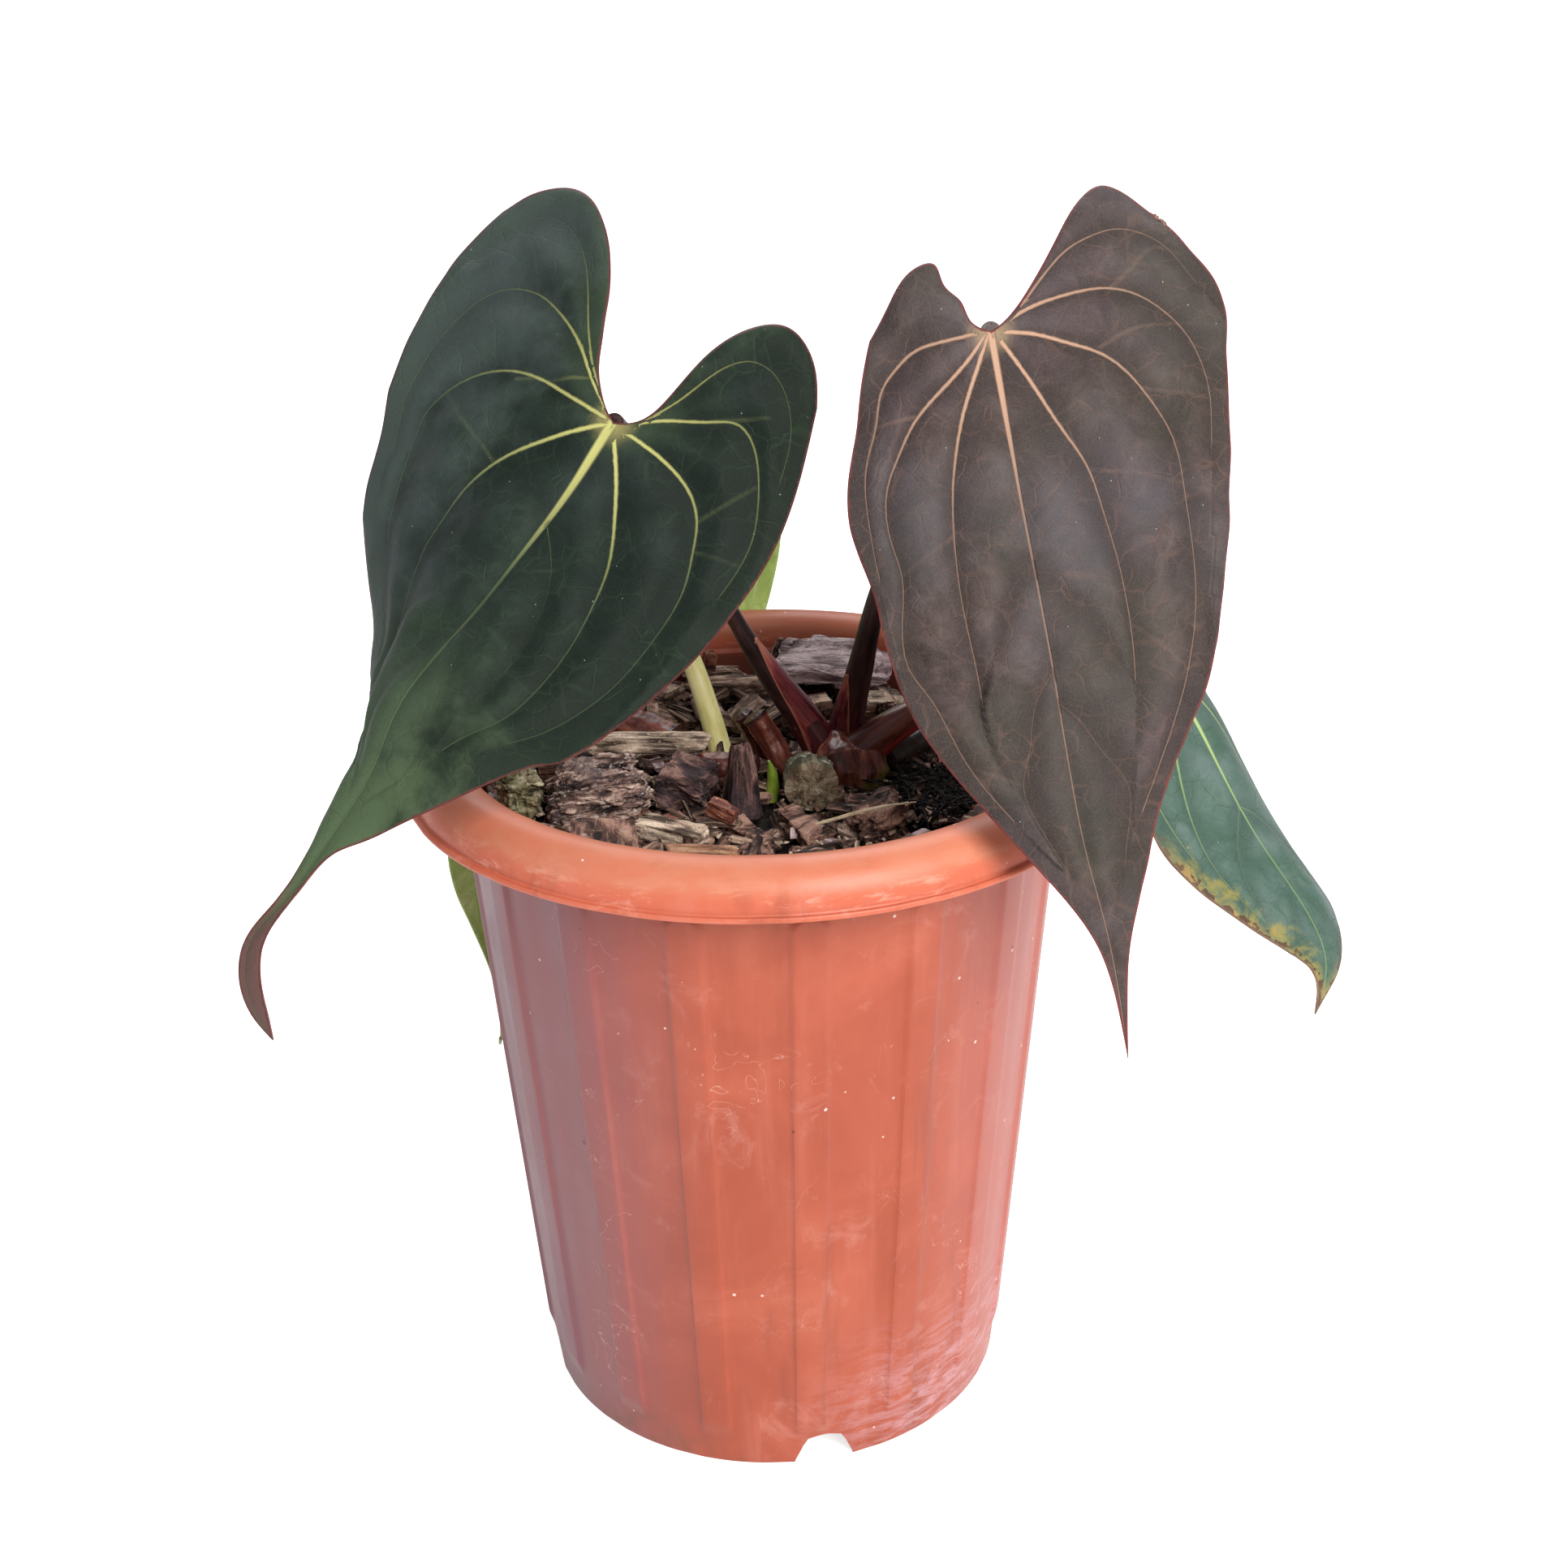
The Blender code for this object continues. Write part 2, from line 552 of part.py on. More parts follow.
notch_bm = bmesh.new()
for k in range(NOTCH_COUNT):
    angle = NOTCH_TURN + 2 * math.pi * k / NOTCH_COUNT
    outward = Vector((math.sin(angle), -math.cos(angle), 0))
    aside = Vector((math.cos(angle), math.sin(angle), 0))
    shoulder = 0.72 * NOTCH_HEIGHT
    outline = [(-NOTCH_WIDTH * 0.55, -0.1 * NOTCH_HEIGHT), (NOTCH_WIDTH * 0.55, -0.1 * NOTCH_HEIGHT),
               (NOTCH_TOP_WIDTH * 0.68, shoulder), (NOTCH_TOP_WIDTH * 0.36, NOTCH_HEIGHT),
               (-NOTCH_TOP_WIDTH * 0.36, NOTCH_HEIGHT), (-NOTCH_TOP_WIDTH * 0.68, shoulder)]
    ends = []
    for reach in (FOOT_RADIUS - 3 * FOOT_RING_WALL, FOOT_RADIUS + 3 * FOOT_RING_WALL):
        ends.append([notch_bm.verts.new(outward * reach + aside * u + Vector((0, 0, w)))
                     for u, w in outline])
    count = len(outline)
    notch_bm.faces.new(ends[0])
    notch_bm.faces.new(ends[1][::-1])
    for i in range(count):
        j = (i + 1) % count
        notch_bm.faces.new((ends[0][i], ends[1][i], ends[1][j], ends[0][j]))

pot = solid("pot", pot_bm, TERRACOTTA, 35)
for tool in (cutter("drain_hole_cutter", holes_bm), cutter("foot_notch_cutter", notch_bm)):
    cut = pot.modifiers.new(tool.name, "BOOLEAN")
    cut.operation = "DIFFERENCE"
    cut.solver = "EXACT"
    cut.object = tool

# ---------------------------------------------------------------- bark mix
mix_rng = random.Random(5)
MIX_SIDES = 48
MIX_SHOULDER = 3 * MM
mix_rings = []
pad_inside = PAD_RADIUS - WALL - GAP
bed_edge = inner_radius(BED_LEVEL) - GAP
for z, r, sag in ((FLOOR_THICKNESS + GAP, pad_inside, 0), (FLOOR_TOP + GAP, pad_inside, 0),
                  (FLOOR_TOP + GAP, inner_radius(FLOOR_TOP) - GAP, 0),
                  (BED_LEVEL - MIX_SHOULDER, inner_radius(BED_LEVEL - MIX_SHOULDER) - GAP, 0),
                  (BED_LEVEL, bed_edge * 0.93, 1), (BED_LEVEL, bed_edge * 0.72, 1),
                  (BED_LEVEL, bed_edge * 0.45, 1), (BED_LEVEL, bed_edge * 0.18, 1)):
    ring = []
    for k in range(MIX_SIDES):
        angle = 2 * math.pi * k / MIX_SIDES
        drop = sag * mix_rng.uniform(0, 1.2) * MM
        ring.append((r * math.cos(angle), r * math.sin(angle), z - drop))
    mix_rings.append(ring)
solid("bark_mix", ladder(mix_rings), SOIL, 50)

# ---------------------------------------------------------------- crown and stems
stem("crown", [bed(20, 8.8, 1.3), bed(19.7, 9.4, 4), bed(19.5, 10, 7.2)],
     [r * MM * SPREAD for r in (6.5, 8.2, 7.8)], CROWN_SKIN, rings=6, sides=16)


def behind(blade, reach):
    """A place behind a blade's junction, measured out of its underside."""
    m, _, _, n = blade.frame(0.0)
    return Vector(m - n * (BLADE_THICKNESS + GAP + reach * MM * PLANT))


def petiole(name, path, blade, finish, base):
    """A leaf stem, thick at the base, meeting the underside of its blade square on."""
    radii = [base * MM * SPREAD, STEM_RADIUS * 1.05, STEM_RADIUS, STEM_RADIUS * 0.95,
             STEM_RADIUS]
    return stem(name, path + [behind(blade, 8), behind(blade, 0.5)], radii, finish, rings=20)


dark_path = [bed(14, 12.5, 9), bed(4, 13.6, 24), bed(-5.5, 13, 41)]
bronze_path = [bed(21, 12.5, 8.4), bed(25, 11.5, 26), bed(29, 9, 45)]
old_path = [bed(26, 6.5, 10.4), bed(39.5, 8, 17), bed(61, 7, 24), air(84, 4, 8.5)]
yellow_path = [bed(-10, 19, 0.8), bed(-18, 27, 26), air(-26, 60, 13)]
petiole("dark_leaf_stem", dark_path, DARK_BLADE, DARK_STEM, 3.0)
petiole("bronze_leaf_stem", bronze_path, BRONZE_BLADE, DARK_STEM, 3.0)
petiole("old_leaf_stem", old_path, OLD_BLADE, RED_SKIN, 3.0)
petiole("yellow_leaf_stem", yellow_path, YELLOW_BLADE, YELLOW_STEM, 2.9)

SHEATH = 0.8 * MM * SPREAD
sheath("dark_stem_bract", [bed(12.9, 12.6, 11), bed(4.2, 13.6, 24), bed(-2.6, 13.4, 35)],
       STEM_RADIUS * 1.25 + GAP, 1.5, (0.7, -0.5, 0.5), SHEATH, RED_SKIN)
sheath("bronze_stem_bract", [bed(21.6, 12.4, 10.5), bed(23.4, 12, 18), bed(25, 11.5, 26)],
       STEM_RADIUS * 1.18 + GAP, 1.2, (-0.4, -0.9, 0.2), SHEATH, RED_SKIN)

leaf("dark_leaf_blade", DARK_BLADE, DARK_GREEN)
leaf("bronze_leaf_blade", BRONZE_BLADE, BRONZE)
leaf("old_leaf_blade", OLD_BLADE, BLUE_GREEN)
leaf("yellow_leaf_blade", YELLOW_BLADE, YELLOW_GREEN)

# ---------------------------------------------------------------- old stem pieces and rhizome
stub("cut_stem_front", (6, 9.5, 3.6), (-1.6, 12, 15), 3.1, OLD_STEM)
stub("cut_stem_rear", (0.5, 18.5, 3), (-5, 17.5, 14), 2.5, OLD_STEM)
stub("fallen_stem_left", (-37, 35, 5), (-22, 22, 4.6), 4.3, OLD_STEM)
stub("fallen_stem_middle", (-18.5, 5.6, 4.3), (-1.5, 2.4, 4.3), 3.8, OLD_STEM)
stub("fallen_stem_right", (31.5, 7.5, 4.7), (45.5, 22, 4.7), 4.4, DARK_STEM)
stem("rhizome_stump", [bed(10.6, -1, 7.5), bed(11.2, -8, 7), bed(11.8, -15, 6.2)],
     [r * MM * SPREAD for r in (4.6, 6.4, 5.6)], CROWN_SKIN, rings=6, sides=14)
stem("green_shoot", [bed(2.2, -5.5, 0.4), bed(2.8, -6.4, 6), bed(2.2, -7.2, 11)],
     [r * MM * SPREAD for r in (1.7, 1.5, 0.4)], GREEN_SHOOT, rings=6, sides=8)

# ---------------------------------------------------------------- bark pieces
chunk("bark_craggy", (-40, -15.5, 0), (24, 17, 13), (6, -4, 12), DARK_BARK, 1, cuts=3, rough=0.28)
chunk("bark_dark_left", (-18.6, -9.5, 0), (13, 14, 11), (10, 8, -20), DARK_BARK, 2, cuts=2)
chunk("bark_spike", (-4.6, -16.5, 0), (9, 6, 19), (12, 3, 8), DARK_BARK, 3, cuts=2)
chunk("bark_slab", (20, 54, 9), (30, 17, 3.2), (20, 3, -4), GREY_BARK, 4, cuts=2)
chunk("bark_block", (32, 40, 0), (12, 9, 9), (5, 8, 20), TAN_WOOD, 5)
chunk("bark_layers", (-8, 50, 4), (22, 11, 6), (-6, 4, 8), DARK_BARK, 6, cuts=2)
chunk("bark_layers_left", (-31, 50.5, 2), (20, 10, 6), (6, -5, -38), DARK_BARK, 7, cuts=2)
chunk("stick_grey", (-29.5, 4.5, 9.4), (33, 5.4, 5), (0, 0.5, -1), TAN_WOOD, 8, rough=0.08)
chunk("stick_tan", (-22.5, -29, 0), (19, 6, 5), (8, 0, -28), TAN_WOOD, 9)
chunk("stick_back", (3.5, 63, 2), (4, 5, 15), (-18, 22, 0), DARK_BARK, 10)
chunk("stub_upright", (-14, 60.5, 3), (3.4, 4, 11), (-6, 4, 10), OLD_STEM, 11)
chunk("chip_red", (-9.3, -27.5, 5), (8, 3.6, 4), (0, 10, -35), OLD_STEM, 12)
chunk("chip_front_left", (-3.8, -31, 0), (6, 17, 4), (0, 8, 37), DARK_BARK, 13)
chunk("chip_front_right", (9.5, -28.5, 0), (6, 17, 5), (4, -6, 26), DARK_BARK, 14)
chunk("strip_orange", (-14, -43.5, 2), (18, 5, 2.6), (4, 2, -2), OLD_STEM, 15)
chunk("bark_right_front", (28, -30, 0), (12, 13, 9), (12, -8, 15), DARK_BARK, 16, cuts=2)
chunk("moss_clump", (-60, -11, 0), (11, 15, 11), (0, 6, 8), MOSS, 17, cuts=3, rough=0.25)
chunk("root_mat", (43, -8, 0), (20, 20, 6), (3, -4, 10), ROOTS, 18, cuts=3, rough=0.25)
chunk("bark_left_rear", (-50, 15, 0), (14, 15, 8), (5, -4, 30), DARK_BARK, 19)
chunk("bark_rear_right", (50, 34, 0), (14, 10, 7), (4, 6, -40), DARK_BARK, 20)
chunk("bark_side_right", (60, 14, 0), (12, 15, 8), (0, 6, 12), DARK_BARK, 21)
chunk("bark_front_far", (12, -52, 0), (22, 10, 6), (6, 2, 6), DARK_BARK, 22)
chunk("bark_front_right", (36, -47, 0), (17, 10, 7), (3, -5, 40), GREY_BARK, 23)
chunk("bark_front_left", (-38, -41, 0), (15, 12, 8), (3, 5, -38), DARK_BARK, 24)
chunk("bark_front_low", (-13, -57, 0), (20, 9, 6), (3, 2, -10), DARK_BARK, 25)
chunk("bark_middle_rear", (13, 31, 0), (13, 11, 6), (-3, 3, 10), DARK_BARK, 26)
chunk("bark_side_front_right", (56, -30, 0), (10, 14, 7), (4, -5, -28), DARK_BARK, 27)
chunk("bark_rear_left", (-52, 36, 0), (10, 12, 7), (3, 5, 40), GREY_BARK, 28)
stem("straw", [bed(13, -38, 8.2), bed(25, -37.4, 11.4), bed(37, -34, 11.6)],
     [0.45 * MM, 0.55 * MM, 0.3 * MM], TAN_WOOD, rings=8, sides=6)
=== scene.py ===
"""Potted anthurium: the looks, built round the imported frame. Metres, +Z up, front is -Y."""
import math
import random

import bmesh
import bpy
import numpy as np
from mathutils import Euler, Matrix, Vector, noise


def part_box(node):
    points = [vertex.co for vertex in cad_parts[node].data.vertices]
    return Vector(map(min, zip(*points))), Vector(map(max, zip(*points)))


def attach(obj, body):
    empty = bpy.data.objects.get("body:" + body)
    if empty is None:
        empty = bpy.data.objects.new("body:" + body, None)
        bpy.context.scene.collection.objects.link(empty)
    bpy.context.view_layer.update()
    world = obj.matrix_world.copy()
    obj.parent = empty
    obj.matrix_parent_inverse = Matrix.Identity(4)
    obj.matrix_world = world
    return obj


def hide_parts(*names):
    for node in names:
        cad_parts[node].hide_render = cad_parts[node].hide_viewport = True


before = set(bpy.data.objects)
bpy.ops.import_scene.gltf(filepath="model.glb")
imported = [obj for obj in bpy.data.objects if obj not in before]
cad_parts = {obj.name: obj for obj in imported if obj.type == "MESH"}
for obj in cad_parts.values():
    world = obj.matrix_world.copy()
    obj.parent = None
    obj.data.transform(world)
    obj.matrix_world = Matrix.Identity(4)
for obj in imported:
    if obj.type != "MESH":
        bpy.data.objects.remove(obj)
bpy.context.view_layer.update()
MM = 0.001
noise.seed_set(11)               # else noise_vector starts from the clock and bark differs between runs

# ---------------------------------------------------------------- camera
EYE = Vector((0.0057, -0.5408, 0.4092))
LOOKING_DOWN = math.radians(24.21)
CAMERA_ROLL = math.radians(-1.16)
LENS = 53.45

camera = bpy.data.objects.new("camera", bpy.data.cameras.new("camera"))
camera.data.lens = LENS
camera.data.sensor_width = 36
camera.data.clip_start = 0.01
camera.data.clip_end = 60
camera.matrix_world = (Matrix.Translation(EYE)
                       @ Matrix.Rotation(math.pi / 2 - LOOKING_DOWN, 4, "X")
                       @ Matrix.Rotation(CAMERA_ROLL, 4, "Z"))
bpy.context.scene.collection.objects.link(camera)
bpy.context.scene.camera = camera
bpy.context.scene.view_settings.view_transform = "Standard"

# ---------------------------------------------------------------- sizes, as in the part
POT_HEIGHT = 184 * MM
LIP_RADIUS = 90 * MM
FOOT_RADIUS = 61.3 * MM
BODY_TOP_RADIUS = 75.2 * MM
LIP_UNDERSIDE = 172.8 * MM
LIP_THICKNESS = 1.4 * MM
LIP_SHELF = 1.5 * MM
RIM_INNER_STEP = 1.4 * MM
RIM_CROWN_SHARE = 0.39
RIM_INNER_FALL = 4.6 * MM
LEDGE_DROP = 9.2 * MM
LEDGE_WIDTH = 0.7 * MM
WALL = 2.0 * MM
RIM_WALL = 1.8 * MM
FOOT_RING_HEIGHT = 9.6 * MM
FOOT_RING_WALL = 2.6 * MM
FLOOR_THICKNESS = 2.2 * MM
PAD_RADIUS = 28 * MM
FOOT_EDGE = 0.6 * MM
FOOT_BAND = 8 * MM
RIB_COUNT = 16
RIB_HEIGHT = 1.0 * MM
RIB_HALF = 5 * MM
RIB_FLANK = 1.4 * MM
RIB_FADE = 6 * MM
RIB_TOP = POT_HEIGHT - 17 * MM
RIB_TURN = math.radians(8.5)
BED_LEVEL = POT_HEIGHT - 20 * MM
GAP = 0.3 * MM
PETIOLE_RADIUS = 2.5 * MM


def body_radius(z):
    """Outside of the tapered body at a height."""
    return FOOT_RADIUS + (BODY_TOP_RADIUS - FOOT_RADIUS) * z / LIP_UNDERSIDE


SPREAD = (body_radius(BED_LEVEL) - WALL) / (72 * MM)


def bed(x, y, lift):
    """A place in the bed: millimetres across and above the level of the mix."""
    return Vector((x * MM * SPREAD, y * MM * SPREAD, BED_LEVEL + GAP + lift * MM * SPREAD))


def air(x, y, rise):
    """A place in the plant: millimetres across and above the rim crown."""
    return Vector((x * MM * SPREAD, y * MM * SPREAD, POT_HEIGHT + rise * MM * SPREAD))


# ---------------------------------------------------------------- node helpers
def put(tree, kind, inputs=None, **settings):
    """Add a node; an input is a value or another node's socket."""
    node = tree.nodes.new(kind)
    for name, value in settings.items():
        setattr(node, name, value)
    for key, value in (inputs or {}).items():
        if isinstance(value, bpy.types.NodeSocket):
            tree.links.new(value, node.inputs[key])
        else:
            node.inputs[key].default_value = value
    return node


def calc(tree, operation, first, second=0.0, third=0.0, clamp=False):
    inputs = {0: first, 1: second}
    if operation in ("MULTIPLY_ADD", "SMOOTH_MIN"):
        inputs[2] = third
    return put(tree, "ShaderNodeMath", inputs, operation=operation, use_clamp=clamp).outputs[0]


def remap(tree, value, low, high, to_low=0.0, to_high=1.0):
    """Smooth step from one range to another."""
    node = put(tree, "ShaderNodeMapRange", {0: value, 1: low, 2: high, 3: to_low, 4: to_high},
               interpolation_type="SMOOTHSTEP")
    return node.outputs[0]


def tint(colour):
    return (*colour, 1.0) if len(colour) == 3 else colour


def mixed(tree, share, first, second, mode="MIX"):
    """Mix of two colours."""
    first, second = (c if isinstance(c, bpy.types.NodeSocket) else tint(c) for c in (first, second))
    node = put(tree, "ShaderNodeMix", {0: share, 6: first, 7: second}, data_type="RGBA",
               blend_type=mode, clamp_factor=True)
    return node.outputs[2]


def grainy(tree, vector, scale, detail=3.0, roughness=0.55, distortion=0.0):
    """Noise value, about 0.3 to 0.7."""
    inputs = {"Vector": vector, "Scale": scale, "Detail": detail, "Roughness": roughness,
              "Distortion": distortion}
    return put(tree, "ShaderNodeTexNoise", inputs).outputs["Fac"]


def scaled(tree, vector, scale, offset=(0, 0, 0)):
    inputs = {"Vector": vector, "Scale": scale, "Location": offset}
    return put(tree, "ShaderNodeMapping", inputs).outputs[0]


def stops(tree, value, *colours):
    """Colour ramp from (place, colour) pairs."""
    node = put(tree, "ShaderNodeValToRGB", {0: value})
    elements = node.color_ramp.elements
    while len(elements) < len(colours):
        elements.new(0.5)
    for element, (place, colour) in zip(elements, colours):
        element.position = place
        element.color = tint(colour)
    return node.outputs[0]


def attribute(tree, name):
    return put(tree, "ShaderNodeAttribute", attribute_name=name)


def finish(name, **constants):
    """A new material with its shader's fixed values set."""
    material = bpy.data.materials.new(name)
    material.use_nodes = True
    tree = material.node_tree
    shader = tree.nodes["Principled BSDF"]
    for key, value in constants.items():
        shader.inputs[key.replace("_", " ").title().replace("Ior", "IOR")].default_value = value
    return material, tree, shader


def bumped(tree, shader, height, strength, distance):
    node = put(tree, "ShaderNodeBump", {"Height": height, "Strength": strength, "Distance": distance})
    tree.links.new(node.outputs[0], shader.inputs["Normal"])


def feed(tree, shader, **sockets):
    for key, socket in sockets.items():
        tree.links.new(socket, shader.inputs[key.replace("_", " ").title()])


def group(name, inputs, outputs):
    """A shared effect: returns the group, its tree ends and a table of input sockets."""
    tree = bpy.data.node_groups.new(name, "ShaderNodeTree")
    for label, kind, value in inputs:
        socket = tree.interface.new_socket(label, in_out="INPUT", socket_type=kind)
        if value is not None:
            socket.default_value = value
    for label, kind in outputs:
        tree.interface.new_socket(label, in_out="OUTPUT", socket_type=kind)
    start = tree.nodes.new("NodeGroupInput")
    end = tree.nodes.new("NodeGroupOutput")
    return tree, start.outputs, end.inputs


def use(tree, shared, **inputs):
    node = tree.nodes.new("ShaderNodeGroup")
    node.node_tree = shared
    for key, value in inputs.items():
        key = key.replace("_", " ").title()
        if isinstance(value, bpy.types.NodeSocket):
            tree.links.new(value, node.inputs[key])
        else:
            node.inputs[key].default_value = value
    return node.outputs


NUMBER = "NodeSocketFloat"
VECTOR = "NodeSocketVector"


def make_specks():
    """Scattered dust specks: small round dots, some patches of the surface without any."""
    tree, start, end = group("specks", [("Vector", VECTOR, None), ("Scale", NUMBER, 300.0),
                                        ("Amount", NUMBER, 0.2)], [("Mask", NUMBER)])
    cells = put(tree, "ShaderNodeTexVoronoi", {"Vector": start["Vector"], "Scale": start["Scale"]})
    pick = put(tree, "ShaderNodeSeparateColor", {0: cells.outputs["Color"]}).outputs
    size = remap(tree, pick[1], 0.3, 1.0, 0.07, 0.26)
    dot = remap(tree, calc(tree, "DIVIDE", cells.outputs["Distance"], size), 0.55, 1.0, 1.0, 0.0)
    chosen = calc(tree, "LESS_THAN", pick[0], start["Amount"])
    tree.links.new(calc(tree, "MULTIPLY", dot, chosen), end["Mask"])
    return tree


def make_fibre():
    """Split fibres that run along a piece: fine lines, coarse ridges and a height for bump."""
    tree, start, end = group("fibre", [("Vector", VECTOR, None), ("Fine", NUMBER, 1.0)],
                             [("Lines", NUMBER), ("Coarse", NUMBER), ("Height", NUMBER)])
    along = scaled(tree, start["Vector"], (60, 900, 900))
    lines = grainy(tree, along, start["Fine"], 4.0, 0.6, 0.4)
    wide = scaled(tree, start["Vector"], (90, 260, 330))
    coarse = grainy(tree, wide, 1.0, 5.0, 0.62, 0.8)
    tree.links.new(lines, end["Lines"])
    tree.links.new(coarse, end["Coarse"])
    height = calc(tree, "MULTIPLY_ADD", lines, 0.5, coarse)
    tree.links.new(height, end["Height"])
    return tree


SPECKS = make_specks()
FIBRE = make_fibre()


# ---------------------------------------------------------------- mesh helpers
def piece(name, bm, material, node=None, smooth_angle=40.0, recalculate=False):
    """Turn a bmesh into a named piece that rides on the one body."""
    if recalculate:
        bmesh.ops.recalc_face_normals(bm, faces=bm.faces[:])
    limit = math.radians(smooth_angle)
    for face in bm.faces:
        face.smooth = True
    for edge in bm.edges:
        edge.smooth = edge.calc_face_angle(0.0) < limit
    mesh = bpy.data.meshes.new(name)
    bm.to_mesh(mesh)
    bm.free()
    for item in material if isinstance(material, (list, tuple)) else [material]:
        mesh.materials.append(item)
    thing = bpy.data.objects.new(name, mesh)
    bpy.context.scene.collection.objects.link(thing)
    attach(thing, "root")
    if node:
        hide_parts(node)
    return thing


def settle(thing):
    """Make a piece's modifiers part of its mesh."""
    bpy.context.view_layer.update()
    shape = thing.evaluated_get(bpy.context.evaluated_depsgraph_get())
    mesh = bpy.data.meshes.new_from_object(shape)
    thing.modifiers.clear()
    thing.data = mesh
    return thing


def natural_spline(knots, values, at):
    """Smooth curve through values given at knots, with relaxed ends."""
    knots = np.asarray(knots, float)
    values = np.asarray(values, float)
    n = len(knots)
    h = np.diff(knots)
    rows = np.eye(n)
    right = np.zeros((n,) + values.shape[1:])
    for i in range(1, n - 1):
        rows[i, i - 1] = h[i - 1]
        rows[i, i] = 2 * (h[i - 1] + h[i])
        rows[i, i + 1] = h[i]
        right[i] = 6 * ((values[i + 1] - values[i]) / h[i] - (values[i] - values[i - 1]) / h[i - 1])
    bend = np.linalg.solve(rows, right)
    at = np.asarray(at, float)
    i = np.clip(np.searchsorted(knots, at) - 1, 0, n - 2)
    shape = at.shape + (1,) * (values.ndim - 1)
    hi = h[i].reshape(shape)
    p = (knots[i + 1] - at).reshape(shape)
    q = (at - knots[i]).reshape(shape)
    return ((bend[i] * p ** 3 + bend[i + 1] * q ** 3) / (6 * hi)
            + (values[i] / hi - bend[i] * hi / 6) * p
            + (values[i + 1] / hi - bend[i + 1] * hi / 6) * q)


def curve_through(points, count):
    """Evenly spaced points along a smooth curve through the given ones."""
    points = np.asarray(points, float)
    knots = np.r_[0, np.cumsum(np.linalg.norm(np.diff(points, axis=0), axis=1))]
    fine = natural_spline(knots, points, np.linspace(0, knots[-1], 240))
    run = np.r_[0, np.cumsum(np.linalg.norm(np.diff(fine, axis=0), axis=1))]
    even = np.linspace(0, run[-1], count)
    return np.stack([np.interp(even, run, fine[:, k]) for k in range(points.shape[1])], -1)


def tube(bm, path, radii, sides, rings, shape=None):
    """A closed round stem along a path. Its grain layer holds straightened-out places in metres.

    shape(share, angle) changes the radius round the stem.
    """
    grain = bm.verts.layers.float_vector.get("grain") or bm.verts.layers.float_vector.new("grain")
    places = [Vector(p) for p in curve_through([list(p) for p in path], rings)]
    sizes = np.interp(np.linspace(0, 1, rings), np.linspace(0, 1, len(radii)), radii)
    ahead = [(places[min(i + 1, rings - 1)] - places[max(i - 1, 0)]).normalized() for i in range(rings)]
    first = ahead[0].orthogonal().normalized()
    ring = bmesh.ops.create_circle(bm, cap_ends=True, segments=sides, radius=1.0)["verts"]
    edges = list({edge for vert in ring for edge in vert.link_edges})
    angles = {vert: math.atan2(vert.co.y, vert.co.x) for vert in ring}
    run = 0.0
    for i in range(rings):
        if i:
            made = bmesh.ops.extrude_edge_only(bm, edges=edges)["geom"]
            fresh = [g for g in made if isinstance(g, bmesh.types.BMVert)]
            edges = [g for g in made if isinstance(g, bmesh.types.BMEdge)]
            twins = {}
            for vert in fresh:
                for edge in vert.link_edges:
                    other = edge.other_vert(vert)
                    if other in angles:
                        twins[vert] = angles[other]
            angles = twins
            run += (places[i] - places[i - 1]).length
        first = (first - ahead[i] * first.dot(ahead[i])).normalized()
        second = ahead[i].cross(first)
        share = i / (rings - 1)
        for vert, angle in angles.items():
            r = sizes[i] * (shape(share, angle) if shape else 1.0)
            vert.co = places[i] + (first * math.cos(angle) + second * math.sin(angle)) * r
            vert[grain] = (run, math.cos(angle) * sizes[i], math.sin(angle) * sizes[i])
        edges = [e for e in edges if e.verts[0] in angles and e.verts[1] in angles]
    bmesh.ops.edgeloop_fill(bm, edges=edges)
    return bm


# ---------------------------------------------------------------- pot
def arc(centre_r, centre_z, reach_r, reach_z, first, last, steps):
    """Part of an ellipse in the pot's section, angles in degrees from level."""
    turns = [math.radians(first + (last - first) * k / steps) for k in range(steps + 1)]
    return [(centre_r + reach_r * math.cos(a), centre_z + reach_z * math.sin(a)) for a in turns]


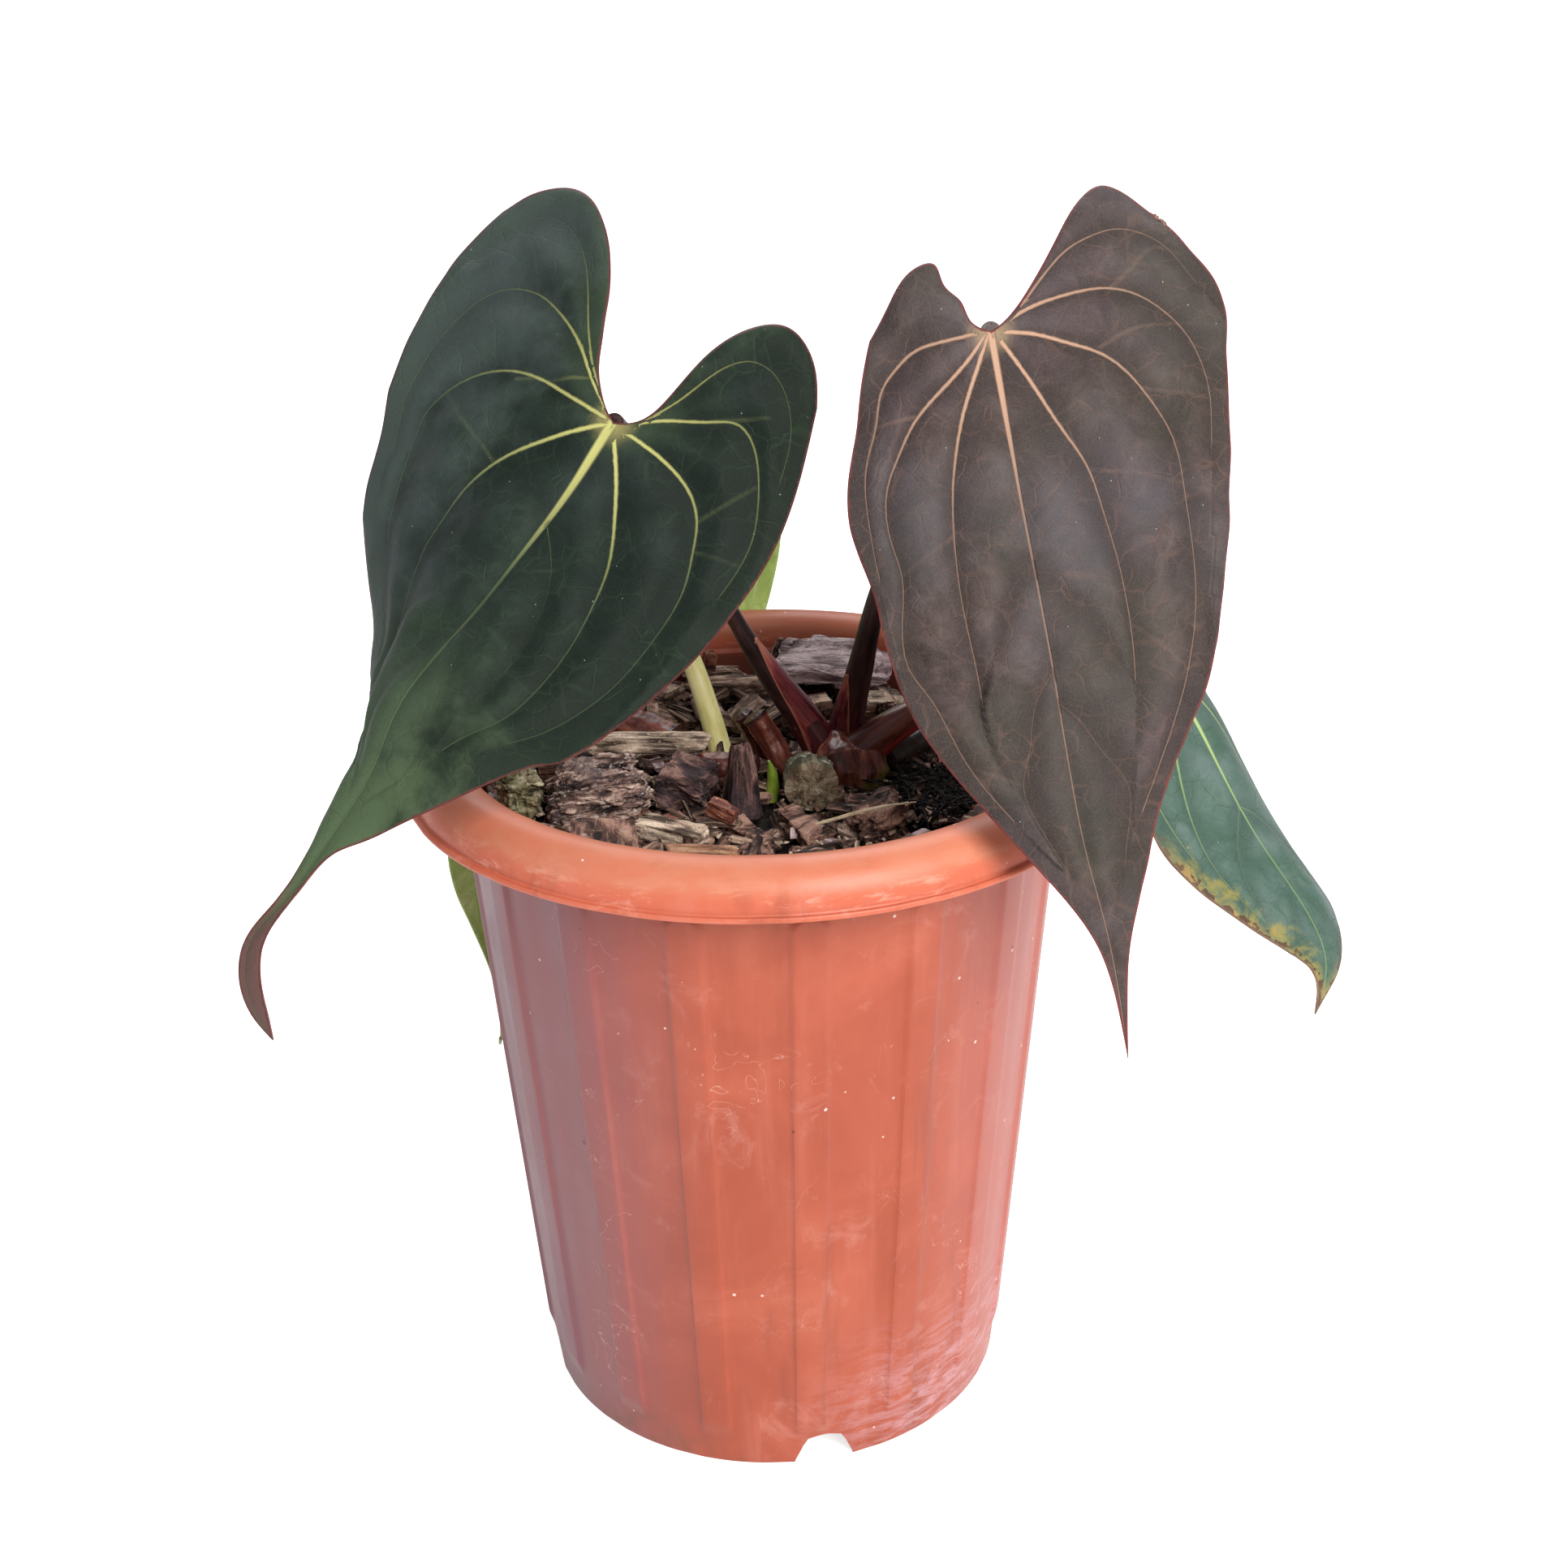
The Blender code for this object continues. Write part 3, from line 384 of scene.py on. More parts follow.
def pot_section():
    """The pot's section from the middle underneath, up the outside, over the rim, to the floor."""
    shoulder = LIP_RADIUS - LIP_SHELF
    mouth = BODY_TOP_RADIUS - RIM_INNER_STEP
    crown = mouth + RIM_CROWN_SHARE * (shoulder - mouth)
    lip_top = LIP_UNDERSIDE + LIP_THICKNESS
    root = body_radius(POT_HEIGHT - RIM_INNER_FALL)
    fall_z = POT_HEIGHT - RIM_INNER_FALL
    ledge = POT_HEIGHT - LEDGE_DROP
    floor_top = FOOT_RING_HEIGHT + FLOOR_THICKNESS
    spots = [(0, 0), (PAD_RADIUS - 3 * FOOT_EDGE, 0)]
    spots += arc(PAD_RADIUS - FOOT_EDGE, FOOT_EDGE, FOOT_EDGE, FOOT_EDGE, -90, 0, 4)
    spots += [(PAD_RADIUS, FOOT_RING_HEIGHT - 0.4 * MM), (PAD_RADIUS + 0.4 * MM, FOOT_RING_HEIGHT),
              (body_radius(FOOT_RING_HEIGHT) - FOOT_RING_WALL, FOOT_RING_HEIGHT),
              (FOOT_RADIUS - FOOT_RING_WALL, 0.2 * MM)]
    spots += arc(FOOT_RADIUS - FOOT_EDGE, FOOT_EDGE, FOOT_EDGE, FOOT_EDGE, -110, 0, 5)
    heights = [3, 5.5, FOOT_BAND / MM - 0.3]
    heights += list(np.arange(FOOT_BAND, FOOT_BAND + RIB_FADE, 1.2 * MM) / MM + 0.3)
    heights += list(np.linspace(FOOT_BAND + RIB_FADE + 1 * MM, RIB_TOP - 8 * MM, 18) / MM)
    heights += list(np.arange(RIB_TOP - 6.5 * MM, RIB_TOP + 0.9 * MM, 0.5 * MM) / MM)
    spots += [(body_radius(h * MM), h * MM) for h in heights]
    spots += arc(crown, fall_z, crown - root, RIM_INNER_FALL - RIM_WALL, 180, 90, 7)[1:]
    spots += arc(crown, lip_top, shoulder - RIM_WALL - crown, POT_HEIGHT - RIM_WALL - lip_top,
                 90, 0, 8)[1:]
    spots += [(shoulder - RIM_WALL, LIP_UNDERSIDE + 0.15 * MM), (shoulder, LIP_UNDERSIDE)]
    spots += arc(LIP_RADIUS - 0.5 * MM, LIP_UNDERSIDE + LIP_THICKNESS / 2, 0.5 * MM,
                 LIP_THICKNESS / 2, -90, 80, 5)
    spots += [(shoulder + 0.35 * MM, lip_top - 0.05 * MM)]
    spots += arc(crown, lip_top, shoulder - crown, POT_HEIGHT - lip_top, 2, 90, 22)
    spots += arc(crown, fall_z, crown - mouth, RIM_INNER_FALL, 90, 180, 9)[1:]
    inner = BODY_TOP_RADIUS - WALL - 0.3 * MM
    spots += [(mouth - 0.1 * MM, ledge + 2.2 * MM), (inner + 0.9 * MM, ledge + 0.5 * MM),
              (inner + 0.5 * MM, ledge), (inner - 0.1 * MM, ledge - 0.5 * MM),
              (body_radius(ledge - 2 * MM) - WALL, ledge - 2 * MM)]
    spots += [(body_radius(z) - WALL, z) for z in np.linspace(ledge - 5 * MM, floor_top + MM, 8)]
    spots += [(body_radius(floor_top) - WALL - 0.8 * MM, floor_top),
              (PAD_RADIUS - WALL, floor_top), (PAD_RADIUS - WALL, FLOOR_THICKNESS),
              (0, FLOOR_THICKNESS)]
    return spots


RIB_COLUMNS = 20
COLUMN_PLACES = list(np.linspace(-1.04, 1.04, 17)) + [1.5, 2.1, 2.7]   # in rib half-widths


def rib_height(aside, z):
    """How far a rib stands out at a distance from its middle line."""
    if z > RIB_TOP - RIB_HALF:
        inside = RIB_HALF - math.hypot(aside, z - (RIB_TOP - RIB_HALF))
    else:
        inside = RIB_HALF - abs(aside)
    rise = min(max(inside / RIB_FLANK, 0.0), 1.0)
    fade = min(max((z - FOOT_BAND) / RIB_FADE, 0.0), 1.0)
    return RIB_HEIGHT * rise * rise * (3 - 2 * rise) * fade * fade * (3 - 2 * fade)


def make_pot(material):
    columns = RIB_COUNT * RIB_COLUMNS
    pitch = 2 * math.pi / RIB_COUNT
    bm = bmesh.new()
    verts = [bm.verts.new((r, 0, z)) for r, z in pot_section()]
    edges = [bm.edges.new(pair) for pair in zip(verts, verts[1:])]
    bmesh.ops.spin(bm, geom=verts + edges, angle=2 * math.pi, steps=columns, axis=(0, 0, 1),
                   cent=(0, 0, 0), use_merge=True)
    bmesh.ops.remove_doubles(bm, verts=bm.verts[:], dist=0.02 * MM)
    rib_half_turn = RIB_HALF / body_radius(POT_HEIGHT / 2)
    offsets = [place * rib_half_turn for place in COLUMN_PLACES]
    for vert in bm.verts:
        r = math.hypot(vert.co.x, vert.co.y)
        if r < MM:
            continue
        column = round(math.atan2(vert.co.y, vert.co.x) / (2 * math.pi) * columns) % columns
        rib, place = divmod(column, RIB_COLUMNS)
        turn = RIB_TURN + rib * pitch + offsets[place]
        z = vert.co.z
        on_wall = FOOT_BAND < z < RIB_TOP + MM and abs(r - body_radius(z)) < 0.3 * MM
        if on_wall:
            aside = COLUMN_PLACES[place] * RIB_HALF
            r += rib_height(aside, z)
        vert.co = (r * math.sin(turn), -r * math.cos(turn), z)
    thing = piece("pot_weathered", bm, material, "pot", 34, recalculate=True)

    cut = bmesh.new()
    for k in range(8):
        turn = 2 * math.pi * k / 8
        spot = Matrix.Translation((43 * MM * math.cos(turn), 43 * MM * math.sin(turn), 11 * MM))
        bmesh.ops.create_cone(cut, cap_ends=True, segments=28, radius1=4 * MM, radius2=4 * MM,
                              depth=7 * MM, matrix=spot)
    for k in range(4):
        turn = math.radians(12) + math.pi / 2 * k
        outline = bmesh.ops.create_circle(cut, cap_ends=True, segments=26, radius=1.0)["verts"]
        for vert in outline:
            x, y = vert.co.x, vert.co.y
            lean = 1 - 0.42 * max(y, 0)
            square = 1 / max(abs(x), abs(y)) ** 0.62
            vert.co = (x * square * 8 * MM * lean, FOOT_RADIUS - 8 * MM,
                       (y * square * 8.8) * MM)
        faces = list({face for vert in outline for face in vert.link_faces})
        made = bmesh.ops.extrude_face_region(cut, geom=faces)["geom"]
        moved = [g for g in made if isinstance(g, bmesh.types.BMVert)]
        bmesh.ops.translate(cut, verts=moved, vec=(0, 16 * MM, 0))
        around = list({v for v in outline} | set(moved))
        bmesh.ops.rotate(cut, verts=around, cent=(0, 0, 0), matrix=Matrix.Rotation(math.pi + turn, 3, "Z"))
    bmesh.ops.recalc_face_normals(cut, faces=cut.faces[:])
    mesh = bpy.data.meshes.new("pot_cutters")
    cut.to_mesh(mesh)
    cut.free()
    tool = bpy.data.objects.new("pot_cutters", mesh)
    bpy.context.scene.collection.objects.link(tool)
    hole = thing.modifiers.new("holes", "BOOLEAN")
    hole.operation = "DIFFERENCE"
    hole.solver = "EXACT"
    hole.object = tool
    settle(thing)
    bpy.data.objects.remove(tool, do_unlink=True)
    return thing


def pot_finish():
    """Sun-faded moulded terracotta plastic: pale dust on the rim, scuffs, scratches and soil at the foot, with
    painted light on the rim top, painted shade on the left side and inside, and painted pink and lilac reflection on
    the right.
    """
    material, tree, shader = finish("terracotta_weathered", specular_ior_level=0.30)
    spot = put(tree, "ShaderNodeTexCoord").outputs["Object"]
    parts = put(tree, "ShaderNodeSeparateXYZ", {0: spot}).outputs
    height = parts["Z"]
    patches = grainy(tree, spot, 28.0, 4.0, 0.6, 0.6)
    streaks = grainy(tree, scaled(tree, spot, (95, 95, 7)), 1.0, 4.0, 0.6, 0.3)
    clay = stops(tree, patches, (0.30, (0.325, 0.064, 0.030)), (0.5, (0.375, 0.079, 0.040)),
                 (0.70, (0.43, 0.104, 0.056)))
    clay = mixed(tree, remap(tree, height, 0.1700, 0.1725, 0.0, 0.6), clay, (0.62, 0.15, 0.08))
    clay = mixed(tree, remap(tree, streaks, 0.52, 0.8, 0.0, 0.35), clay, (0.55, 0.19, 0.135))
    clay = mixed(tree, remap(tree, streaks, 0.28, 0.46, 0.45, 0.0), clay, (0.24, 0.055, 0.032))
    # pale bloom: thick on the lower roll of the rim, thin elsewhere; on the roll it is partly dust and partly a
    # painted highlight
    bloom = grainy(tree, scaled(tree, spot, (85, 85, 330)), 1.0, 7.0, 0.74, 0.5)
    low_roll = calc(tree, "MULTIPLY", remap(tree, height, 0.1722, 0.1752),
                    remap(tree, height, 0.1775, 0.1832, 1.0, 0.12))
    dust = calc(tree, "MULTIPLY", remap(tree, bloom, 0.50, 0.66), low_roll)
    clay = mixed(tree, calc(tree, "MULTIPLY", dust, 0.45), clay, (0.78, 0.44, 0.33))
    thin = calc(tree, "MULTIPLY", remap(tree, grainy(tree, spot, 60.0, 7.0, 0.72, 0.9), 0.54, 0.72), 0.16)
    clay = mixed(tree, thin, clay, (0.74, 0.42, 0.36))
    # painted light: the top of the rim is made a lighter orange, broken up by the bloom noise
    lit_rim_top = calc(tree, "MULTIPLY", remap(tree, height, 0.1765, 0.1805), remap(tree, bloom, 0.36, 0.6, 0.5, 0.85))
    clay = mixed(tree, lit_rim_top, clay, (0.53, 0.185, 0.105))
    # lilac film low on the right, partly dust and partly painted reflection; brown soil low on the left
    low = remap(tree, height, 0.004, 0.052, 1.0, 0.0)
    right = remap(tree, parts["X"], 0.0, 0.05)
    film_and_reflection = calc(tree, "MULTIPLY", calc(tree, "MULTIPLY", low, right), remap(tree, bloom, 0.40, 0.62))
    clay = mixed(tree, calc(tree, "MULTIPLY", film_and_reflection, 0.6), clay, (0.60, 0.40, 0.45))
    # painted shade: the left side of the body darkened to a cool mauve
    shade = calc(tree, "MULTIPLY", remap(tree, parts["X"], -0.010, -0.060), remap(tree, height, 0.172, 0.168))
    cool_shade = calc(tree, "MULTIPLY", shade, remap(tree, streaks, 0.3, 0.6, 0.75, 1.0))
    clay = mixed(tree, cool_shade, clay, (0.20, 0.080, 0.095))
    # painted reflection: a pinkish glow along the right edge of the body
    pink_reflection = calc(tree, "MULTIPLY", remap(tree, parts["X"], 0.035, 0.065), remap(tree, height, 0.172, 0.168))
    clay = mixed(tree, calc(tree, "MULTIPLY", pink_reflection, 0.35), clay, (0.46, 0.19, 0.19))
    left = remap(tree, parts["X"], 0.01, -0.045)
    soil = calc(tree, "MULTIPLY", calc(tree, "MULTIPLY", remap(tree, height, 0.001, 0.016, 1.0, 0.0), left),
                remap(tree, grainy(tree, spot, 150.0, 5.0, 0.7, 0.4), 0.42, 0.62))
    clay = mixed(tree, calc(tree, "MULTIPLY", soil, 0.7), clay, (0.17, 0.075, 0.04))
    # hair scratches: thin lines where a bent ridge pattern passes its middle
    bent = grainy(tree, spot, 55.0, 3.0, 0.55, 1.6)
    line = remap(tree, calc(tree, "ABSOLUTE", calc(tree, "SUBTRACT", bent, 0.5)), 0.0015, 0.005, 1.0, 0.0)
    kept = remap(tree, grainy(tree, spot, 34.0, 3.0, 0.5), 0.585, 0.64)
    scratch = calc(tree, "MULTIPLY", line, kept)
    clay = mixed(tree, calc(tree, "MULTIPLY", scratch, 0.32), clay, (0.72, 0.46, 0.38))
    pale = use(tree, SPECKS, vector=spot, scale=430.0, amount=0.03)["Mask"]
    clay = mixed(tree, calc(tree, "MULTIPLY", pale, 0.6), clay, (0.86, 0.74, 0.70))
    dark = use(tree, SPECKS, vector=scaled(tree, spot, (1, 1, 1), (0.3, 0.1, 0.2)), scale=330.0,
               amount=0.02)["Mask"]
    clay = mixed(tree, calc(tree, "MULTIPLY", dark, 0.75), clay, (0.10, 0.035, 0.02))
    # inside the pot the wall is painted darker, as shade below the rim
    reach = put(tree, "ShaderNodeVectorMath", {0: put(tree, "ShaderNodeCombineXYZ", {
        "X": parts["X"], "Y": parts["Y"]}).outputs[0]}, operation="LENGTH").outputs["Value"]
    slope = (body_radius(0.15) - body_radius(0.05)) / 0.10
    middle_of_wall = calc(tree, "MULTIPLY_ADD", height, slope, body_radius(0.0) - 0.5 * WALL)
    inside = calc(tree, "MULTIPLY", remap(tree, calc(tree, "SUBTRACT", reach, middle_of_wall),
                                          -0.0004, 0.0002, 1.0, 0.0),
                  remap(tree, height, 0.172, 0.178, 1.0, 0.0))
    clay = mixed(tree, calc(tree, "MULTIPLY", inside, 0.85), clay, (0.14, 0.045, 0.03))
    rough = calc(tree, "MULTIPLY_ADD", remap(tree, patches, 0.3, 0.7), 0.10, 0.36)
    rough = calc(tree, "ADD", rough, calc(tree, "MULTIPLY", dust, 0.2))
    feed(tree, shader, base_color=clay, roughness=rough)
    fine = grainy(tree, spot, 700.0, 3.0, 0.6)
    orange_peel = calc(tree, "MULTIPLY_ADD", grainy(tree, spot, 160.0, 3.0, 0.5), 1.4, fine)
    bumped(tree, shader, calc(tree, "SUBTRACT", orange_peel, calc(tree, "MULTIPLY", scratch, 0.8)),
           0.22, 0.12 * MM)
    return material


make_pot(pot_finish())


# ---------------------------------------------------------------- blades
class Blade:
    """A leaf blade: a midrib in space, a cross-section that folds away from it, and a flat outline.

    Flat places are (along, across) in millimetres: along the midrib from the junction with the
    stem to the tip, across it to one side or the other. Veins run from the tip to the lobes, each
    as (strength, flat places), with the places of both sides given as positive across.
    """

    def __init__(self, midrib, across, fold_left, fold_right, bend_widths, outer_left, sinus_left,
                 outer_right, sinus_right, veins_left, veins_right, links=()):
        self.spine = np.array([list(p) for p in midrib])
        steps = np.linalg.norm(np.diff(self.spine, axis=0), axis=1)
        self.knots = np.r_[0, np.cumsum(steps)]
        self.across = np.asarray(across, float)
        self.length = self.knots[-1] / (MM * SPREAD)
        self.fold_left = np.asarray(fold_left, float)
        self.fold_right = np.asarray(fold_right, float)
        self.bend_widths = bend_widths
        self.margins = {-1: (outer_left, sinus_left), 1: (outer_right, sinus_right)}
        self.veins = {-1: veins_left, 1: veins_right}
        self.links = links

    def frame(self, along):
        """Midrib place, direction to the tip, direction across, and upper-side normal."""
        s = np.asarray(along, float) * MM * SPREAD
        inside = np.clip(s, 0, self.knots[-1])
        step = 0.2 * MM
        low = np.clip(inside - step, 0, None)
        high = np.clip(inside + step, None, self.knots[-1])
        t = natural_spline(self.knots, self.spine, high) - natural_spline(self.knots, self.spine, low)
        t /= np.linalg.norm(t, axis=-1, keepdims=True)
        m = natural_spline(self.knots, self.spine, inside) + t * (s - inside)[..., None]
        share = inside / self.knots[-1]
        b = natural_spline(np.linspace(0, 1, len(self.across)), self.across, share)
        b = b - t * (b * t).sum(-1, keepdims=True)
        b /= np.linalg.norm(b, axis=-1, keepdims=True)
        return m, t, b, np.cross(t, b)

    def place(self, along, across):
        """Points of the upper surface and their normals."""
        m, t, b, n = self.frame(along)
        side = np.sign(across)
        fold = np.where(across < 0, np.interp(along, *self.fold_left.T),
                        np.interp(along, *self.fold_right.T))
        cuts = 24
        reach = np.abs(across)
        width = np.where(across < 0, *self.bend_widths)
        out = np.zeros_like(reach)
        down = np.zeros_like(reach)
        for k in range(cuts):
            angle = fold * (1 - np.exp(-reach * (k + 0.5) / cuts / width))
            out += np.cos(angle) * reach / cuts
            down += np.sin(angle) * reach / cuts
        tilt = fold * (1 - np.exp(-reach / width))
        scale = MM * SPREAD
        point = m + b * (side * out * scale)[..., None] - n * (down * scale)[..., None]
        normal = n * np.cos(tilt)[..., None] + b * (side * np.sin(tilt))[..., None]
        return point, normal


def distance(points, line):
    """Distance from flat places to a line of places, and which side: above 0 on its left."""
    points = np.asarray(points, float)
    best = np.full(len(points), 1e9)
    turn = np.zeros(len(points))
    for a, b in zip(line, line[1:]):
        d = b - a
        share = np.clip(((points - a) @ d) / max(d @ d, 1e-9), 0, 1)
        away = points - a - share[:, None] * d
        far = np.hypot(*away.T)
        nearer = far < best - 1e-6
        best = np.where(nearer, far, best)
        turn = np.where(nearer, d[0] * (points[:, 1] - a[1]) - d[1] * (points[:, 0] - a[0]), turn)
    return best, turn


def vein_map(blade, flat, side):
    """For flat places on one side: vein count, room between veins, vein strength, signed distance.

    The count is whole on each vein, and runs evenly from one vein to the next.
    """
    spots = np.stack([flat[:, 0], np.abs(flat[:, 1])], -1)
    midrib = np.array([(0.0, 0.0), (blade.length, 0.0)])
    sinus = curve_through([(a, abs(b)) for a, b in blade.margins[side][1]], 40)
    lines = [curve_through(places, 40) for _, places in blade.veins[side]]
    strengths = [strength for strength, _ in blade.veins[side]]
    gaps = [distance(spots, midrib)[0]]
    passed = np.zeros(len(spots), int)
    for k, line in enumerate(lines):
        far, turn = distance(spots, line)
        gaps.append(far)
        passed = np.where(turn > 0, k + 1, passed)
    gaps.append(distance(spots, sinus)[0])
    gaps = np.array(gaps)
    row = np.arange(len(spots))
    before, after = gaps[passed, row], gaps[passed + 1, row]
    room = np.maximum(before + after, 0.5)
    share = before / room
    last = passed == len(lines)
    share = np.where(passed == 0, 0.5 + 0.5 * share, np.where(last, 0.5 * share, share))
    room = np.where((passed == 0) | last, 2 * room, room)
    full = np.array([0.0] + strengths + [0.0])
    near = np.where(share < 0.5, full[passed], full[passed + 1])
    signed = np.where((passed == 0) | (~last & (share >= 0.5)), -after, before)
    return passed + share, room, near, signed


def blade_sheet(bm, blade, side, rows, columns, at_midrib=0.72):
    """One half of a blade laid flat, in millimetres, from a grid of quads."""
    grid = bmesh.ops.create_grid(bm, x_segments=rows - 1, y_segments=columns, size=1.0)["verts"]
    outer, sinus = blade.margins[side]
    outside = curve_through(outer, rows)
    mid_rows = round(rows * at_midrib)
    inside = np.zeros((rows, 2))
    inside[:mid_rows, 0] = blade.length * (1 - np.arange(mid_rows) / (mid_rows - 1))
    inside[0] = outside[0]
    inside[mid_rows:] = curve_through(sinus[::-1], rows - mid_rows + 1)[1:]
    for vert in grid:
        row = round((vert.co.x + 1) / 2 * (rows - 1))
        share = (vert.co.y + 1) / 2
        spot = inside[row] * (1 - share) + outside[row] * share
        vert.co = (spot[0], spot[1], 0)
    return grid


def ruffle(seed, spots, size):
    """Gentle seeded unevenness over flat places, about -1 to 1."""
    return np.array([noise.noise(Vector((a / size, b / size, seed * 7.3))) for a, b in spots])


def make_leaf(name, node, blade, materials, rows, columns, puff, wave, seed, thickness=0.5 * MM):
    """A blade with sunken veins, puffed cells between them and a waved margin, as a thin shell."""
    bm = bmesh.new()
    sides = {}
    for side in (-1, 1):
        for vert in blade_sheet(bm, blade, side, rows, columns):
            sides[vert] = side
    bm.verts.index_update()
    bm.faces.ensure_lookup_table()
    face_sides = [sides[face.verts[0]] for face in bm.faces]
    flat = np.array([vert.co[:2] for vert in bm.verts])
    side_of = np.array([sides[vert] for vert in bm.verts])
    count = np.zeros(len(flat))
    room = np.zeros(len(flat))
    strength = np.zeros(len(flat))
    signed = np.zeros(len(flat))
    for side in (-1, 1):
        pick = side_of == side
        count[pick], room[pick], strength[pick], signed[pick] = vein_map(blade, flat[pick], side)
    outline = np.concatenate([curve_through(blade.margins[1][0], 160),
                              curve_through(blade.margins[1][1], 50)[1:],
                              curve_through(blade.margins[-1][1][::-1], 50)[1:],
                              curve_through(blade.margins[-1][0][::-1], 160)[1:]])
    rim = distance(flat, outline)[0]
    reach = np.hypot(flat[:, 0], flat[:, 1])
    across = np.abs(flat[:, 1])
    link = np.full(len(flat), 50.0)
    for line in blade.links:
        link = np.minimum(link, distance(flat, curve_through(line, 14))[0])

    cell = np.sin(math.pi * (count % 1.0)) ** 2
    near_midrib = np.where(flat[:, 0] > -2, 1 - np.exp(-(across / 4) ** 2), 1.0)
    soft_rim = 1 - np.exp(-rim / 3)
    height = puff * np.minimum(room, 24) / 24 * cell * near_midrib * soft_rim
    along_cells = 1 + 0.55 * ruffle(seed, flat, 9.0)
    height *= along_cells
    height -= 0.22 * strength * np.exp(-(signed / 0.9) ** 2) * soft_rim
    height -= np.where(flat[:, 0] > 0, 0.35 * np.exp(-(across / 1.2) ** 2), 0) * np.minimum(reach / 8, 1)
    height += 0.30 * puff * ruffle(seed + 3, flat, 16.0)
    margin = np.where(flat[:, 0] < blade.length * 0.8, 1.0, 0.3) * np.minimum(reach / 20, 1)
    height += wave * ruffle(seed + 5, flat, 11.0) * np.exp(-rim / 5) * margin
    height *= np.clip((blade.length - flat[:, 0]) / 25, 0, 1)

    place, normal = blade.place(flat[:, 0], flat[:, 1])
    place = place + normal * (height * MM)[:, None]
    uv = bm.loops.layers.uv.new("flat")
    veins = bm.loops.layers.float_vector.new("veins")
    edge = bm.loops.layers.float_vector.new("edge")
    for face, side in zip(bm.faces, face_sides):
        if side > 0:
            face.normal_flip()
        for loop in face.loops:
            i = loop.vert.index
            loop[uv].uv = flat[i] / 100
            loop[veins] = (count[i], signed[i], strength[i])
            loop[edge] = (rim[i], reach[i], link[i])
    for vert, spot in zip(bm.verts, place):
        vert.co = spot
    bmesh.ops.remove_doubles(bm, verts=bm.verts[:], dist=0.01 * MM)
    bmesh.ops.dissolve_degenerate(bm, edges=bm.edges[:], dist=0.005 * MM)
    for face in bm.faces:
        face.material_index = 0
    thing = piece(name, bm, materials, node, 180)
    shell = thing.modifiers.new("shell", "SOLIDIFY")
    shell.thickness = thickness
    shell.offset = -1.0
    shell.use_even_offset = False
    shell.material_offset = 1
    shell.material_offset_rim = 2
    return settle(thing)


